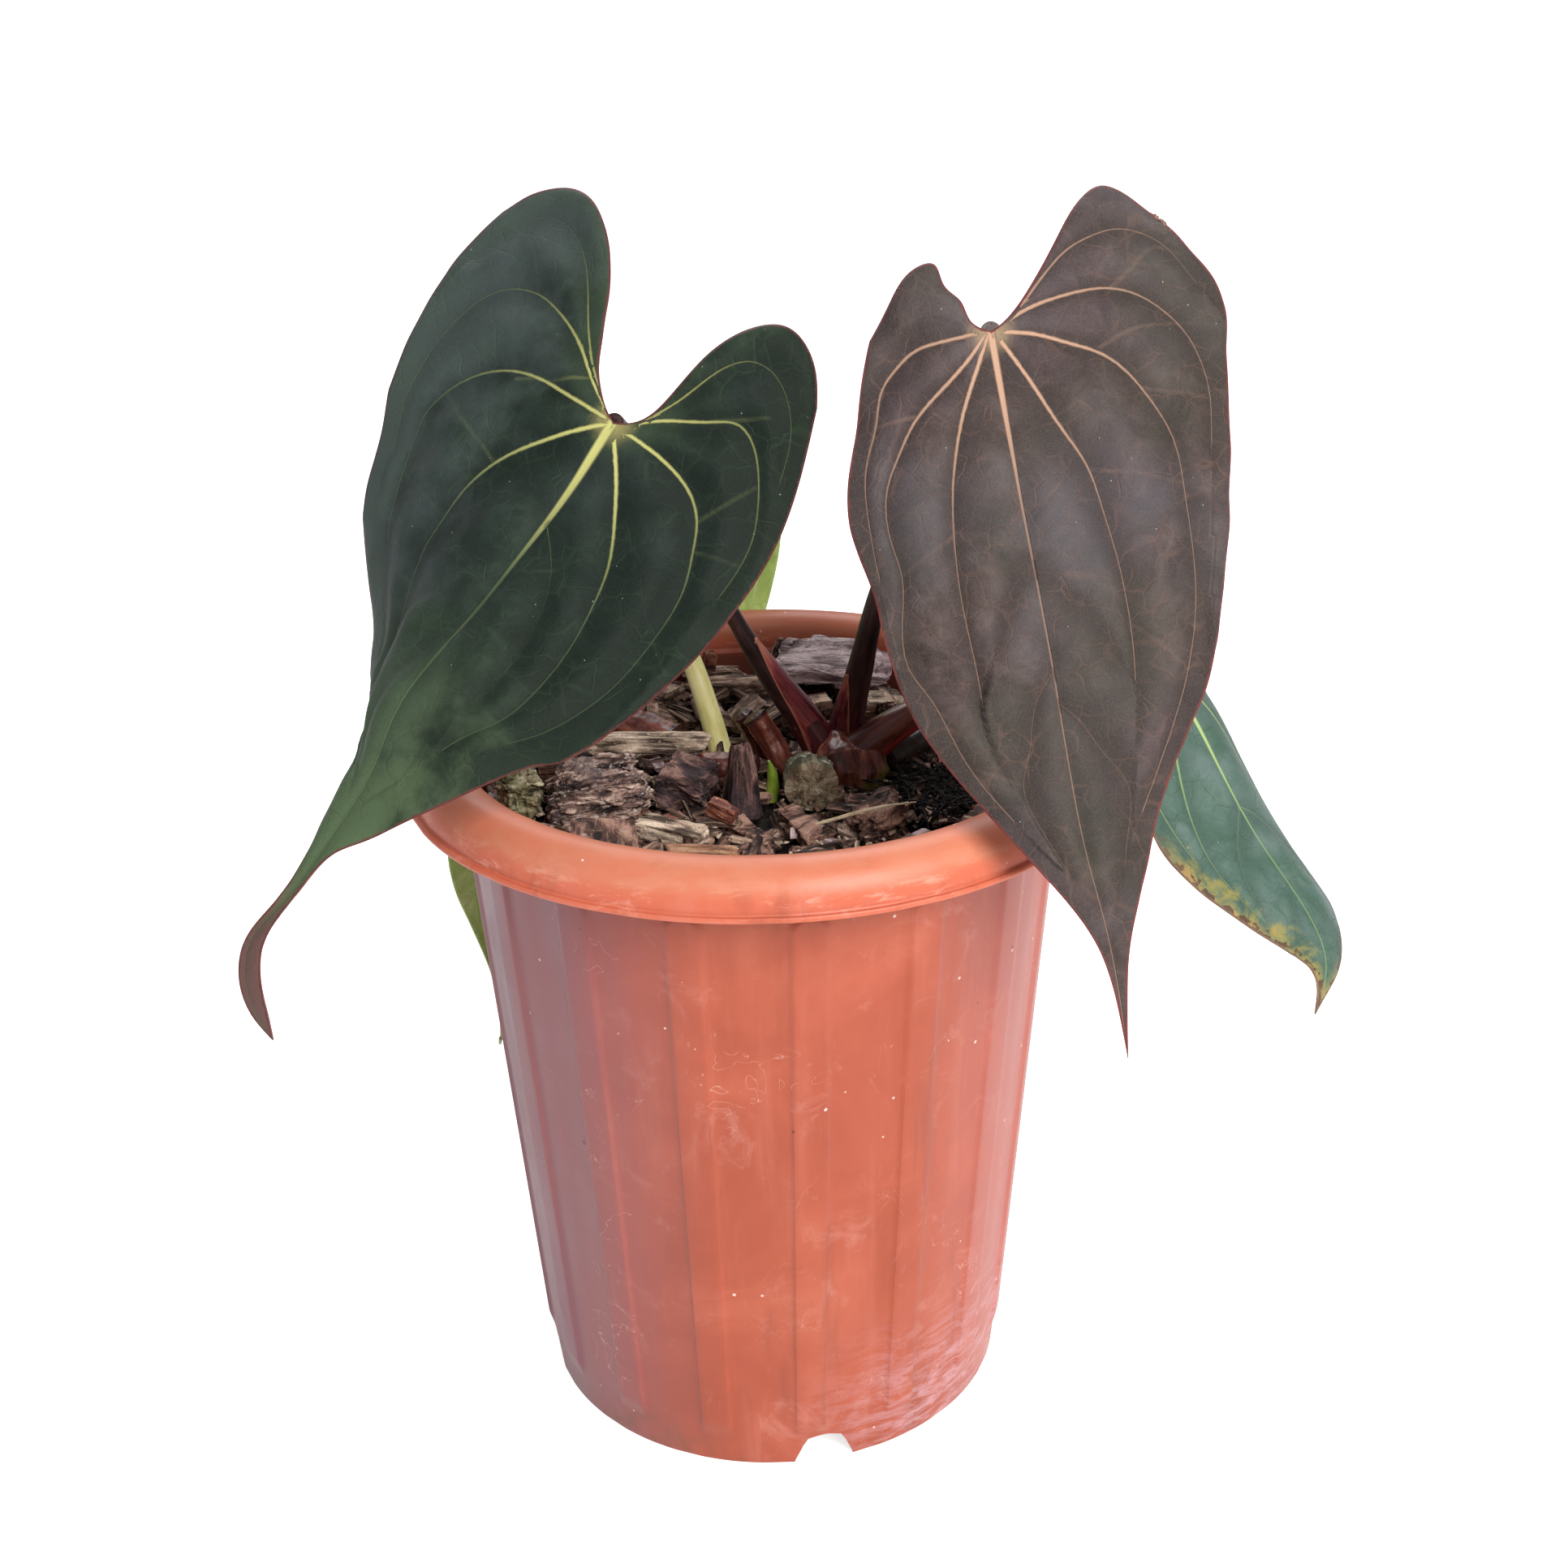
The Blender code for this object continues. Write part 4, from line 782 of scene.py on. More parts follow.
def make_leaf_pattern():
    """What every blade shares: veins, midrib, fine net, rim line, pale junction and a height."""
    tree, start, end = group("leaf pattern", [("Vein Width", NUMBER, 0.8), ("Midrib Width", NUMBER, 1.1),
                                              ("Net Scale", NUMBER, 16.0)],
                             [("Vein", NUMBER), ("Midrib", NUMBER), ("Net", NUMBER), ("Rim", NUMBER),
                              ("Junction", NUMBER), ("Height", NUMBER)])
    veins = put(tree, "ShaderNodeSeparateXYZ", {0: attribute(tree, "veins").outputs["Vector"]}).outputs
    edge = put(tree, "ShaderNodeSeparateXYZ", {0: attribute(tree, "edge").outputs["Vector"]}).outputs
    flat = put(tree, "ShaderNodeUVMap", uv_map="flat").outputs[0]
    place = put(tree, "ShaderNodeSeparateXYZ", {0: flat}).outputs
    waver = calc(tree, "SUBTRACT", grainy(tree, flat, 60.0, 2.0), 0.5)
    nearest = calc(tree, "ROUND", veins["X"])
    beside = remap(tree, calc(tree, "ABSOLUTE", calc(tree, "SUBTRACT", veins["X"], nearest)), 0.2, 0.3, 1.0, 0.0)
    off = calc(tree, "ABSOLUTE", veins["Y"])
    taper = remap(tree, edge["Y"], 4.0, 60.0, 1.35, 0.5)
    width = calc(tree, "MULTIPLY", calc(tree, "MULTIPLY", start["Vein Width"], taper), veins["Z"])
    width = calc(tree, "MULTIPLY", width, calc(tree, "MULTIPLY_ADD", waver, 0.8, 1.0))
    core = put(tree, "ShaderNodeMapRange", {0: calc(tree, "DIVIDE", off, width), 1: 0.35, 2: 1.15,
                                            3: 1.0, 4: 0.0}, interpolation_type="SMOOTHSTEP").outputs[0]
    vein = calc(tree, "MULTIPLY", calc(tree, "MULTIPLY", core, veins["Z"]), beside)
    across = calc(tree, "MULTIPLY", calc(tree, "ABSOLUTE", place["Y"]), 100.0)
    ahead = remap(tree, place["X"], -0.012, 0.004)
    midwidth = calc(tree, "MULTIPLY", start["Midrib Width"], remap(tree, place["X"], 0.0, 0.45, 1.0, 0.42))
    midwidth = calc(tree, "MULTIPLY", midwidth, remap(tree, place["X"], 0.45, 1.25, 1.0, 0.5))
    middle = put(tree, "ShaderNodeMapRange", {0: calc(tree, "DIVIDE", across, midwidth), 1: 0.45,
                                              2: 1.0, 3: 1.0, 4: 0.0}, interpolation_type="SMOOTHSTEP").outputs[0]
    middle = calc(tree, "MULTIPLY", middle, ahead)
    link = remap(tree, edge["Z"], 0.15, 0.75, 1.0, 0.0)
    bent = put(tree, "ShaderNodeVectorMath", {0: flat, 1: put(tree, "ShaderNodeVectorMath", {
        0: put(tree, "ShaderNodeTexNoise", {"Vector": flat, "Scale": 14.0}).outputs["Color"],
        1: (0.05, 0.05, 0.0)}, operation="MULTIPLY").outputs[0]}, operation="ADD").outputs[0]
    cells = put(tree, "ShaderNodeTexVoronoi", {"Vector": bent, "Scale": start["Net Scale"]},
                feature="DISTANCE_TO_EDGE").outputs["Distance"]
    small = put(tree, "ShaderNodeTexVoronoi", {"Vector": bent, "Scale": calc(
        tree, "MULTIPLY", start["Net Scale"], 3.1)}, feature="DISTANCE_TO_EDGE").outputs["Distance"]
    net = calc(tree, "MAXIMUM", remap(tree, cells, 0.0, 0.06, 1.0, 0.0),
               calc(tree, "MULTIPLY", remap(tree, small, 0.0, 0.09, 1.0, 0.0), 0.35))
    fade = remap(tree, grainy(tree, flat, 9.0, 2.0), 0.38, 0.62, 0.25, 1.0)
    net = calc(tree, "MULTIPLY", net, fade)
    vein = calc(tree, "MAXIMUM", vein, calc(tree, "MULTIPLY", link, 0.14))
    line = remap(tree, calc(tree, "ADD", edge["X"], calc(tree, "MULTIPLY", waver, 0.8)), 0.22, 0.62, 1.0, 0.0)
    pale = put(tree, "ShaderNodeMapRange", {0: calc(tree, "MULTIPLY_ADD", waver, 2.0, edge["Y"]), 1: 0.5, 2: 7.0,
                                            3: 1.0, 4: 0.0}, interpolation_type="SMOOTHSTEP").outputs[0]
    grain = grainy(tree, flat, 420.0, 3.0, 0.6)
    sunk = calc(tree, "MAXIMUM", calc(tree, "MAXIMUM", vein, middle), calc(tree, "MULTIPLY", net, 0.35))
    height = calc(tree, "SUBTRACT", calc(tree, "MULTIPLY", grain, 0.35), sunk)
    for label, socket in (("Vein", vein), ("Midrib", middle), ("Net", net), ("Rim", line),
                          ("Junction", pale), ("Height", height)):
        tree.links.new(socket, end[label])
    return tree


LEAF_PATTERN = make_leaf_pattern()


def leaf_top(name, body, vein, vein_far, junction, net, rim, patches, low=None, net_share=0.25, vein_width=0.5,
             midrib_width=1.5, dust=0.01, age=None, tail=None, sky_sheen_left=None, **constants):
    """Upper skin of a blade. body holds dark, middle and light; patches are colours by area, and the bluish and
    purplish ones on the dark and bronze blades are painted sheen and sky reflection.
    """
    settings = dict(roughness=0.5, specular_ior_level=0.22, sheen_weight=0.05, sheen_roughness=0.45)
    settings.update(constants)
    material, tree, shader = finish(name, **settings)
    flat = put(tree, "ShaderNodeUVMap", uv_map="flat").outputs[0]
    edge = put(tree, "ShaderNodeSeparateXYZ", {0: attribute(tree, "edge").outputs["Vector"]}).outputs
    marks = use(tree, LEAF_PATTERN, vein_width=vein_width, midrib_width=midrib_width)
    dark, middle, light = body
    skin = stops(tree, grainy(tree, flat, 9.0, 9.0, 0.72, 0.6), (0.34, dark), (0.50, middle), (0.70, light))
    # patches: colours by area; on the dark and bronze blades these are painted sheen and sky reflection
    for colour, place, size, share in patches:
        spread = grainy(tree, scaled(tree, flat, (1, 1, 1), (*place, 0.0)), size, 3.0, 0.5)
        skin = mixed(tree, remap(tree, spread, 0.44, 0.66, 0.0, share), skin, colour)
    # painted shade: darker along the sunken veins, lighter in the middle of each puffed cell
    apart = put(tree, "ShaderNodeSeparateXYZ", {0: attribute(tree, "veins").outputs["Vector"]}).outputs["X"]
    apart = calc(tree, "ABSOLUTE", calc(tree, "SUBTRACT", apart, calc(tree, "ROUND", apart)))
    skin = mixed(tree, remap(tree, apart, 0.03, 0.34, 0.62, 0.0), skin, dark)
    # greener towards the tip and along the margin: partly the blade's own colour, partly painted light shining
    # through it
    if low:
        place = put(tree, "ShaderNodeSeparateXYZ", {0: flat}).outputs
        cloud = calc(tree, "MULTIPLY", calc(tree, "SUBTRACT", grainy(tree, flat, 7.0, 4.0, 0.6), 0.5), 1.2)
        lower = calc(tree, "MULTIPLY_ADD", cloud, 0.25, remap(tree, place["X"], 0.25, 1.5))
        skin = mixed(tree, remap(tree, lower, 0.05, 0.85, 0.0, 0.85), skin, low)
        outer = remap(tree, calc(tree, "MULTIPLY_ADD", cloud, 12.0, edge["X"]), 0.0, 12.0, 0.25, 0.0)
        skin = mixed(tree, outer, skin, low)
    if sky_sheen_left:
        sideways = put(tree, "ShaderNodeSeparateXYZ", {0: flat}).outputs["Y"]
        cloud = calc(tree, "MULTIPLY", calc(tree, "SUBTRACT", grainy(tree, flat, 6.0, 4.0, 0.6), 0.5), 0.9)
        sideways = calc(tree, "ADD", sideways, cloud)
        # painted sheen: a blue-grey reflection of the sky on the left lobe
        skin = mixed(tree, remap(tree, sideways, -0.1, -0.5, 0.0, 0.5), skin, sky_sheen_left)
        # painted shade: the right half of the blade darkened
        skin = mixed(tree, remap(tree, sideways, 0.02, 0.28, 0.0, 0.85), skin, dark)
    velvet = grainy(tree, flat, 230.0, 4.0, 0.85)
    skin = mixed(tree, remap(tree, velvet, 0.48, 0.66, 0.0, 0.40), skin, light)
    skin = mixed(tree, remap(tree, velvet, 0.36, 0.50, 0.35, 0.0), skin, dark)
    if tail:
        turned = put(tree, "ShaderNodeSeparateXYZ", {0: flat}).outputs["X"]
        skin = mixed(tree, remap(tree, turned, 1.22, 1.50), skin, tail)
    skin = mixed(tree, calc(tree, "MULTIPLY", marks["Net"], net_share), skin, net)
    halo = calc(tree, "MULTIPLY", marks["Junction"], 0.5)
    skin = mixed(tree, halo, skin, junction)
    line = calc(tree, "MAXIMUM", marks["Vein"], marks["Midrib"])
    near = remap(tree, edge["Y"], 4.0, 62.0, 1.0, 0.45)
    line_colour = mixed(tree, remap(tree, edge["Y"], 8.0, 52.0), vein, vein_far)
    skin = mixed(tree, calc(tree, "MULTIPLY", line, near), skin, line_colour)
    if age:
        skin = age(tree, skin, flat, edge)
    skin = mixed(tree, marks["Rim"], skin, rim)
    specks = use(tree, SPECKS, vector=flat, scale=120.0, amount=dust)["Mask"]
    skin = mixed(tree, calc(tree, "MULTIPLY", specks, 0.4), skin, (0.72, 0.74, 0.70))
    rough = calc(tree, "MULTIPLY_ADD", velvet, 0.25, settings["roughness"] - 0.12)
    feed(tree, shader, base_color=skin, roughness=calc(tree, "MULTIPLY_ADD", line, -0.08, rough))
    bumped(tree, shader, marks["Height"], 0.8, 0.45 * MM)
    return material


def leaf_under(name, body, vein, rim=None):
    """Underside of a blade: paler and duller, with raised veins."""
    material, tree, shader = finish(name, specular_ior_level=0.3, sheen_weight=0.1)
    flat = put(tree, "ShaderNodeUVMap", uv_map="flat").outputs[0]
    marks = use(tree, LEAF_PATTERN, vein_width=1.2, midrib_width=1.8)
    dark, middle, light = body
    skin = stops(tree, grainy(tree, flat, 7.0, 6.0, 0.65, 0.5), (0.34, dark), (0.52, middle), (0.72, light))
    skin = mixed(tree, calc(tree, "MULTIPLY", marks["Net"], 0.35), skin, dark)
    line = calc(tree, "MAXIMUM", marks["Vein"], marks["Midrib"])
    skin = mixed(tree, line, skin, vein)
    if rim:
        skin = mixed(tree, marks["Rim"], skin, rim)
    rough = remap(tree, grainy(tree, flat, 90.0), 0.3, 0.7, 0.5, 0.68)
    feed(tree, shader, base_color=skin, roughness=rough)
    bumped(tree, shader, calc(tree, "MULTIPLY", marks["Height"], -1.0), 0.6, 0.4 * MM)
    return material


def leaf_rim(name, colour, second):
    """The cut-thin edge of a blade."""
    material, tree, shader = finish(name, specular_ior_level=0.3)
    flat = put(tree, "ShaderNodeUVMap", uv_map="flat").outputs[0]
    skin = stops(tree, grainy(tree, flat, 25.0, 4.0), (0.35, colour), (0.65, second))
    feed(tree, shader, base_color=skin, roughness=remap(tree, grainy(tree, flat, 80.0), 0.3, 0.7, 0.45, 0.6))
    return material


def scorched(tree, skin, flat, edge):
    """Ageing of the old blade: yellow towards one margin and the tip, burnt brown edge, dry spots."""
    place = put(tree, "ShaderNodeSeparateXYZ", {0: flat}).outputs
    cloud = grainy(tree, flat, 16.0, 4.0, 0.65, 0.4)
    inward = calc(tree, "MULTIPLY_ADD", calc(tree, "SUBTRACT", cloud, 0.5), 22.0, edge["X"])
    left = remap(tree, place["Y"], 0.03, -0.05)
    outer = calc(tree, "MAXIMUM", calc(tree, "MULTIPLY", left, remap(tree, place["X"], 0.30, 0.52)),
                 remap(tree, place["X"], 0.80, 0.92))
    yellow = calc(tree, "MULTIPLY", remap(tree, inward, 0.5, 6.5, 1.0, 0.0), outer)
    skin = mixed(tree, calc(tree, "MULTIPLY", yellow, 0.9), skin, (0.26, 0.23, 0.06))
    ochre = calc(tree, "MULTIPLY", remap(tree, inward, -1.0, 2.5, 1.0, 0.0), outer)
    skin = mixed(tree, calc(tree, "MULTIPLY", ochre, 0.75), skin, (0.36, 0.21, 0.075))
    burn = calc(tree, "MULTIPLY", remap(tree, calc(tree, "MULTIPLY_ADD", calc(
        tree, "SUBTRACT", grainy(tree, flat, 42.0, 4.0), 0.52), 14.0, edge["X"]), 0.0, 1.0, 1.0, 0.0),
        remap(tree, place["X"], 0.25, 0.5))
    return mixed(tree, calc(tree, "MULTIPLY", burn, 0.9), skin, (0.08, 0.035, 0.025))


DARK_BLADE = Blade(
    midrib=[air(-32, -12, 80), air(-43, -19, 65.5), air(-67, -39.5, 41), air(-79, -51, 29),
            air(-87.5, -60.5, 13), air(-98, -66.5, -1.5), air(-108, -70, -13.5),
            air(-116.5, -70.5, -24), air(-117, -73, -36), air(-112, -75.5, -46)],
    across=[(0.97, -0.22, -0.05), (0.97, -0.22, -0.05), (0.96, -0.24, -0.06), (0.93, -0.30, -0.1),
            (0.90, -0.38, -0.2), (0.88, -0.4, -0.2), (0.8, -0.4, 0.4)],
    fold_left=[(-40, 0.25), (20, 0.2), (45, 0.4), (58, 0.65), (75, 1.0), (90, 1.45), (110, 1.6),
               (125, 1.0), (150, 0.2)],
    fold_right=[(-40, 0.25), (60, 0.22), (120, 0.1)],
    bend_widths=(7, 12),
    outer_left=[(172, 0), (165, -1.4), (150, -1.5), (135, -1.6), (120, -4), (105, -10), (90, -20),
                (77, -31.5), (66, -40.5), (53, -50), (38, -55.5), (18, -58.5), (0, -61.5), (-16, -61.5),
                (-30, -58)],
    sinus_left=[(-30, -58), (-40, -51), (-43.5, -42), (-39, -31), (-28, -21), (-14, -13.5),
                (-5, -7), (-1, -2), (0, 0)],
    outer_right=[(172, 0), (166, 3.2), (158, 4.4), (148, 3.8), (138, 1.8), (128, 1.2), (120, 2.4),
                 (112, 7.5), (103, 14.5), (94, 24), (86, 32), (76, 38.5), (62, 43), (44, 46.5),
                 (22, 48), (2, 47), (-14, 43), (-28, 38)],
    sinus_right=[(-28, 38), (-37, 31), (-40, 22), (-35, 15), (-23, 9.5), (-10, 7.5), (-3, 4.5),
                 (-1, 2), (0, 0)],
    veins_left=[(0.4, [(62, 0), (72, 5), (84, 8), (98, 6), (112, 3)]),
                (1.0, [(1, 1), (11, 12), (22, 21), (38, 26), (54, 27), (70, 23), (80, 18), (95, 9)]),
                (0.9, [(0, 1.5), (0, 14), (0, 22), (5, 36), (16, 44), (28, 46), (45, 43), (60, 36), (74, 27)]),
                (0.9, [(-1, 2), (-6, 10), (-12, 19), (-16, 29), (-17, 37), (-13, 46), (-4, 51), (12, 53),
                       (30, 51)]),
                (0.6, [(-2, 3.5), (-8, 11), (-16, 19), (-25, 26), (-33, 35), (-35, 44), (-30, 52), (-18, 57)])],
    veins_right=[(0.4, [(58, 0), (68, 5), (80, 8), (94, 8), (108, 4)]),
                 (0.3, [(28, 0), (38, 9), (50, 14), (62, 16), (74, 15)]),
                 (1.0, [(1.5, 1), (11, 8), (19, 13), (28, 18), (37, 21), (54, 24), (74, 22), (88, 14), (97, 8)]),
                 (0.9, [(0.5, 1.5), (2, 18), (5, 25), (9, 29), (15, 32), (22, 35), (35, 37), (50, 37), (66, 33),
                        (80, 26)]),
                 (0.8, [(-1, 3), (-6, 9), (-12, 19), (-15, 25), (-13, 30), (-9, 34), (-3, 38), (6, 42), (20, 43)]),
                 (0.5, [(-4, 6), (-14, 11), (-24, 15), (-29, 20), (-29, 26), (-26, 31), (-20, 36), (-9, 40)])],
    links=[[(-17, -36), (-27, -45), (-28, -55)], [(9, 29), (-5, 36)], [(15, 32), (12, 43)],
           [(37, 37), (42, 45)], [(54, 24), (62, 33)], [(-6, -10), (3, -28)], [(22, -21), (14, -43)],
           [(38, -26), (33, -45)], [(54, -27), (52, -40)], [(-12, 19), (-20, 30)]],
)

BRONZE_BLADE = Blade(
    midrib=[air(53.7, -24.3, 102.4), air(59.5, -43.9, 68), air(65.6, -63.5, 33.7), air(72, -80, -2),
            air(76, -86, -17), air(80, -96.5, -42.5)],
    across=[(0.99, 0.05, 0.05), (0.99, 0.05, 0.05)],
    fold_left=[(-20, 0.4), (100, 0.3), (140, 0.2)],
    fold_right=[(-20, 0.3), (100, 0.2), (140, 0.15)],
    bend_widths=(25, 25),
    outer_left=[(164.5, 0), (154, -0.6), (147, -1.2), (138, -3), (127, -7), (111, -16), (97, -25),
                (83, -32), (68, -35), (50, -36.5), (37, -38.5), (22, -35.5), (8, -31), (-3, -27)],
    sinus_left=[(-3, -27), (-11, -21), (-17, -14), (-17, -10), (-12, -8.5), (-8, -5.5), (-3, -4),
                (-1, -2), (0, 0)],
    outer_right=[(164.5, 0), (156, 1), (147, 2.4), (138, 5), (125, 12), (108, 20), (92, 30),
                 (76, 38), (52, 46), (30, 51), (14, 53.5), (-3, 55.5), (-14, 50), (-21, 44)],
    sinus_right=[(-21, 44), (-28, 37), (-30.5, 31), (-28, 26), (-20, 19), (-12, 13), (-5, 7),
                 (-1, 2), (0, 0)],
    veins_left=[(0.6, [(78, 0.5), (84, 5), (94, 8), (101, 10.5), (112, 8), (124, 4)]),
                (0.35, [(53, 0.5), (59.5, 6.7), (69, 11.2)]),
                (0.95, [(1, 1), (9, 5), (17, 9), (25, 12), (32, 14), (44, 16), (61, 17), (77, 16.5), (90, 16),
                        (100, 13)]),
                (0.9, [(1, 1.5), (6.5, 7), (12, 14), (17, 20), (24, 25), (29, 28), (42, 30), (50, 29), (57, 30),
                       (72, 31), (78, 28), (92, 23), (108, 14)]),
                (0.8, [(0, 4), (0.5, 11), (1.5, 17.5), (4.4, 22), (8.5, 26), (16.6, 29), (22, 31.5), (34, 34),
                       (50, 34)])],
    veins_right=[(0.6, [(85, 0.5), (89, 4), (96, 7.5), (104, 12), (116, 10), (131, 5)]),
                 (0.35, [(56, 0.4), (67, 11), (76, 15)]),
                 (0.95, [(1, 1), (12, 6.6), (23, 11.4), (34, 16.3), (42, 17.6), (61, 19), (80, 18), (95, 15.5)]),
                 (0.95, [(0.5, 1.5), (2.7, 11.6), (4.6, 16), (7.3, 22.5), (11.3, 27.8), (17, 32), (28, 37),
                         (40, 37.5), (53, 36.7), (72, 33.5), (84, 29), (98, 22), (112, 14)]),
                 (0.85, [(-1.5, 3.5), (-4.5, 11), (-6, 18), (-6.5, 29), (-4.5, 35), (-1, 40), (6, 45.5), (16, 48),
                         (32, 46)]),
                 (0.6, [(-5, 8), (-12, 15), (-16, 20), (-19, 27), (-20, 32), (-19, 38), (-15, 44), (-6, 50)])],
    links=[[(16, -19.5), (16.6, -28.8)], [(44, -16), (50, -28.5)], [(34, 16), (37, 27), (40, 37)],
           [(69.5, 19), (81, 30)], [(7, 23.5), (4, 31), (3, 42)], [(-6.7, 29), (-11, 35), (-15, 41), (-13, 47)],
           [(8.5, -26), (21, -31)], [(101, -10.5), (96, -20)], [(17, 32), (21, 47)], [(53, 37), (60, 43)]],
)

PLAIN_VEINS = [(0.35, [(62, 0), (72, 6), (84, 7)]), (0.45, [(38, 0), (50, 9), (66, 13)]),
               (0.7, [(2, 1), (16, 9), (34, 15), (54, 16), (66, 13)]),
               (0.6, [(0, 1.5), (4, 12), (14, 20), (30, 22), (46, 20)]),
               (0.4, [(-3, 3), (-9, 10), (-9, 17), (0, 22)])]
OLD_BLADE = Blade(
    midrib=[air(101, 0, 11), air(109, -7, -2), air(121, -18, -24), air(132, -29, -39),
            air(137.5, -37, -53), air(134.5, -43, -62)],
    across=[(0.76, 0.64, 0.07), (0.76, 0.64, 0.07)],
    fold_left=[(-20, 0.2), (90, 0.2)],
    fold_right=[(-20, 1.1), (60, 1.1), (90, 0.8)],
    bend_widths=(14, 14),
    outer_left=[(95, 0), (89, -2), (82, -7), (68, -16), (52, -23.5), (38, -27), (24, -26),
                (8, -25), (-8, -21)],
    sinus_left=[(-8, -21), (-18, -16), (-20, -11), (-13, -7), (-4, -3), (0, 0)],
    outer_right=[(95, 0), (89, 2), (81, 7), (68, 16), (52, 23), (30, 27), (10, 26), (-8, 22)],
    sinus_right=[(-8, 22), (-18, 17), (-20, 11), (-13, 7), (-4, 3), (0, 0)],
    veins_left=PLAIN_VEINS, veins_right=PLAIN_VEINS,
)

LONG_VEINS = [(0.5, [(92, 0), (106, 10), (124, 12)]), (0.6, [(58, 0), (74, 14), (96, 22)]),
              (0.9, [(2, 1), (20, 13), (48, 24), (78, 27), (100, 22)]),
              (0.8, [(0, 2), (4, 20), (20, 34), (46, 38), (70, 36)]),
              (0.6, [(-4, 4), (-14, 16), (-18, 28), (-4, 38), (20, 41)])]
YELLOW_BLADE = Blade(
    midrib=[air(-33, 101, 23), air(-40, 101, -2), air(-57, 89, -42), air(-69, 75, -80),
            air(-77, 65, -112), air(-80, 59, -128)],
    across=[(-0.84, -0.54, 0.0), (-0.84, -0.54, 0.0)],
    fold_left=[(-30, 0.4), (120, 0.3)],
    fold_right=[(-30, 0.3), (120, 0.4)],
    bend_widths=(25, 25),
    outer_left=[(163, 0), (154, -2), (141, -8), (120, -21), (92, -34), (60, -43), (28, -46),
                (0, -44), (-18, -38)],
    sinus_left=[(-18, -38), (-31, -29), (-34, -19), (-24, -10), (-8, -4), (0, 0)],
    outer_right=[(163, 0), (154, 2), (141, 8), (120, 25), (92, 39), (60, 44), (28, 41),
                 (4, 33), (-8, 26)],
    sinus_right=[(-8, 26), (-15, 20), (-17, 14), (-13, 8), (-5, 3), (0, 0)],
    veins_left=LONG_VEINS, veins_right=LONG_VEINS,
)

dark_skins = [
    leaf_top("dark_velvet", ((0.0045, 0.009, 0.006), (0.009, 0.018, 0.0115), (0.022, 0.036, 0.026)),
             (0.44, 0.43, 0.15), (0.075, 0.115, 0.05), (0.48, 0.40, 0.14), (0.035, 0.065, 0.03),
             (0.10, 0.028, 0.026), [((0.030, 0.038, 0.044), (0.4, 0.9), 2.5, 0.35)], low=(0.080, 0.122, 0.058),
             specular_ior_level=0.13, sky_sheen_left=(0.070, 0.088, 0.086),
             net_share=0.2, dust=0.012, roughness=0.5, tail=(0.12, 0.060, 0.052)),
    leaf_under("dark_underside", ((0.10, 0.050, 0.045), (0.15, 0.080, 0.068), (0.20, 0.12, 0.10)),
               (0.26, 0.17, 0.13)),
    leaf_rim("dark_rim", (0.14, 0.045, 0.04), (0.24, 0.11, 0.07))]
make_leaf("dark_velvet_leaf", "dark_leaf_blade", DARK_BLADE, dark_skins,
          rows=210, columns=56, puff=3.0, wave=1.2, seed=2)

bronze_skins = [
    leaf_top("bronze_velvet", ((0.024, 0.017, 0.014), (0.058, 0.040, 0.035), (0.115, 0.088, 0.082)),
             (0.46, 0.28, 0.19), (0.32, 0.20, 0.145), (0.50, 0.36, 0.20), (0.15, 0.085, 0.065),
             (0.15, 0.035, 0.032),
             [((0.105, 0.105, 0.122), (0.2, 1.3), 2.2, 0.45), ((0.062, 0.042, 0.056), (1.7, 0.2), 2.0, 0.45),
              ((0.040, 0.044, 0.030), (3.0, 2.2), 2.4, 0.5)],
             net_share=0.30, vein_width=0.5, midrib_width=1.1, roughness=0.5, specular_ior_level=0.16),
    leaf_under("bronze_underside", ((0.20, 0.10, 0.075), (0.26, 0.15, 0.11), (0.32, 0.20, 0.15)),
               (0.42, 0.24, 0.17)),
    leaf_rim("bronze_rim", (0.24, 0.05, 0.045), (0.34, 0.15, 0.10))]
make_leaf("bronze_velvet_leaf", "bronze_leaf_blade", BRONZE_BLADE, bronze_skins,
          rows=200, columns=50, puff=2.0, wave=1.9, seed=11)

old_skins = [
    leaf_top("old_blue_green", ((0.035, 0.072, 0.055), (0.060, 0.115, 0.090), (0.11, 0.17, 0.14)),
             (0.36, 0.48, 0.19), (0.26, 0.40, 0.17), (0.40, 0.50, 0.22), (0.035, 0.08, 0.05), (0.16, 0.10, 0.07),
             [((0.13, 0.18, 0.17), (0.7, 0.4), 6.0, 0.7), ((0.035, 0.085, 0.05), (2.4, 1.1), 9.0, 0.6)],
             net_share=0.4, vein_width=0.6, midrib_width=1.0, roughness=0.42, dust=0.02,
             age=scorched),
    leaf_under("old_underside", ((0.10, 0.15, 0.05), (0.16, 0.22, 0.08), (0.24, 0.30, 0.12)),
               (0.34, 0.38, 0.16)),
    leaf_rim("old_rim", (0.12, 0.06, 0.04), (0.34, 0.22, 0.09))]
make_leaf("old_blue_green_leaf", "old_leaf_blade", OLD_BLADE, old_skins,
          rows=150, columns=36, puff=0.6, wave=0.9, seed=23)

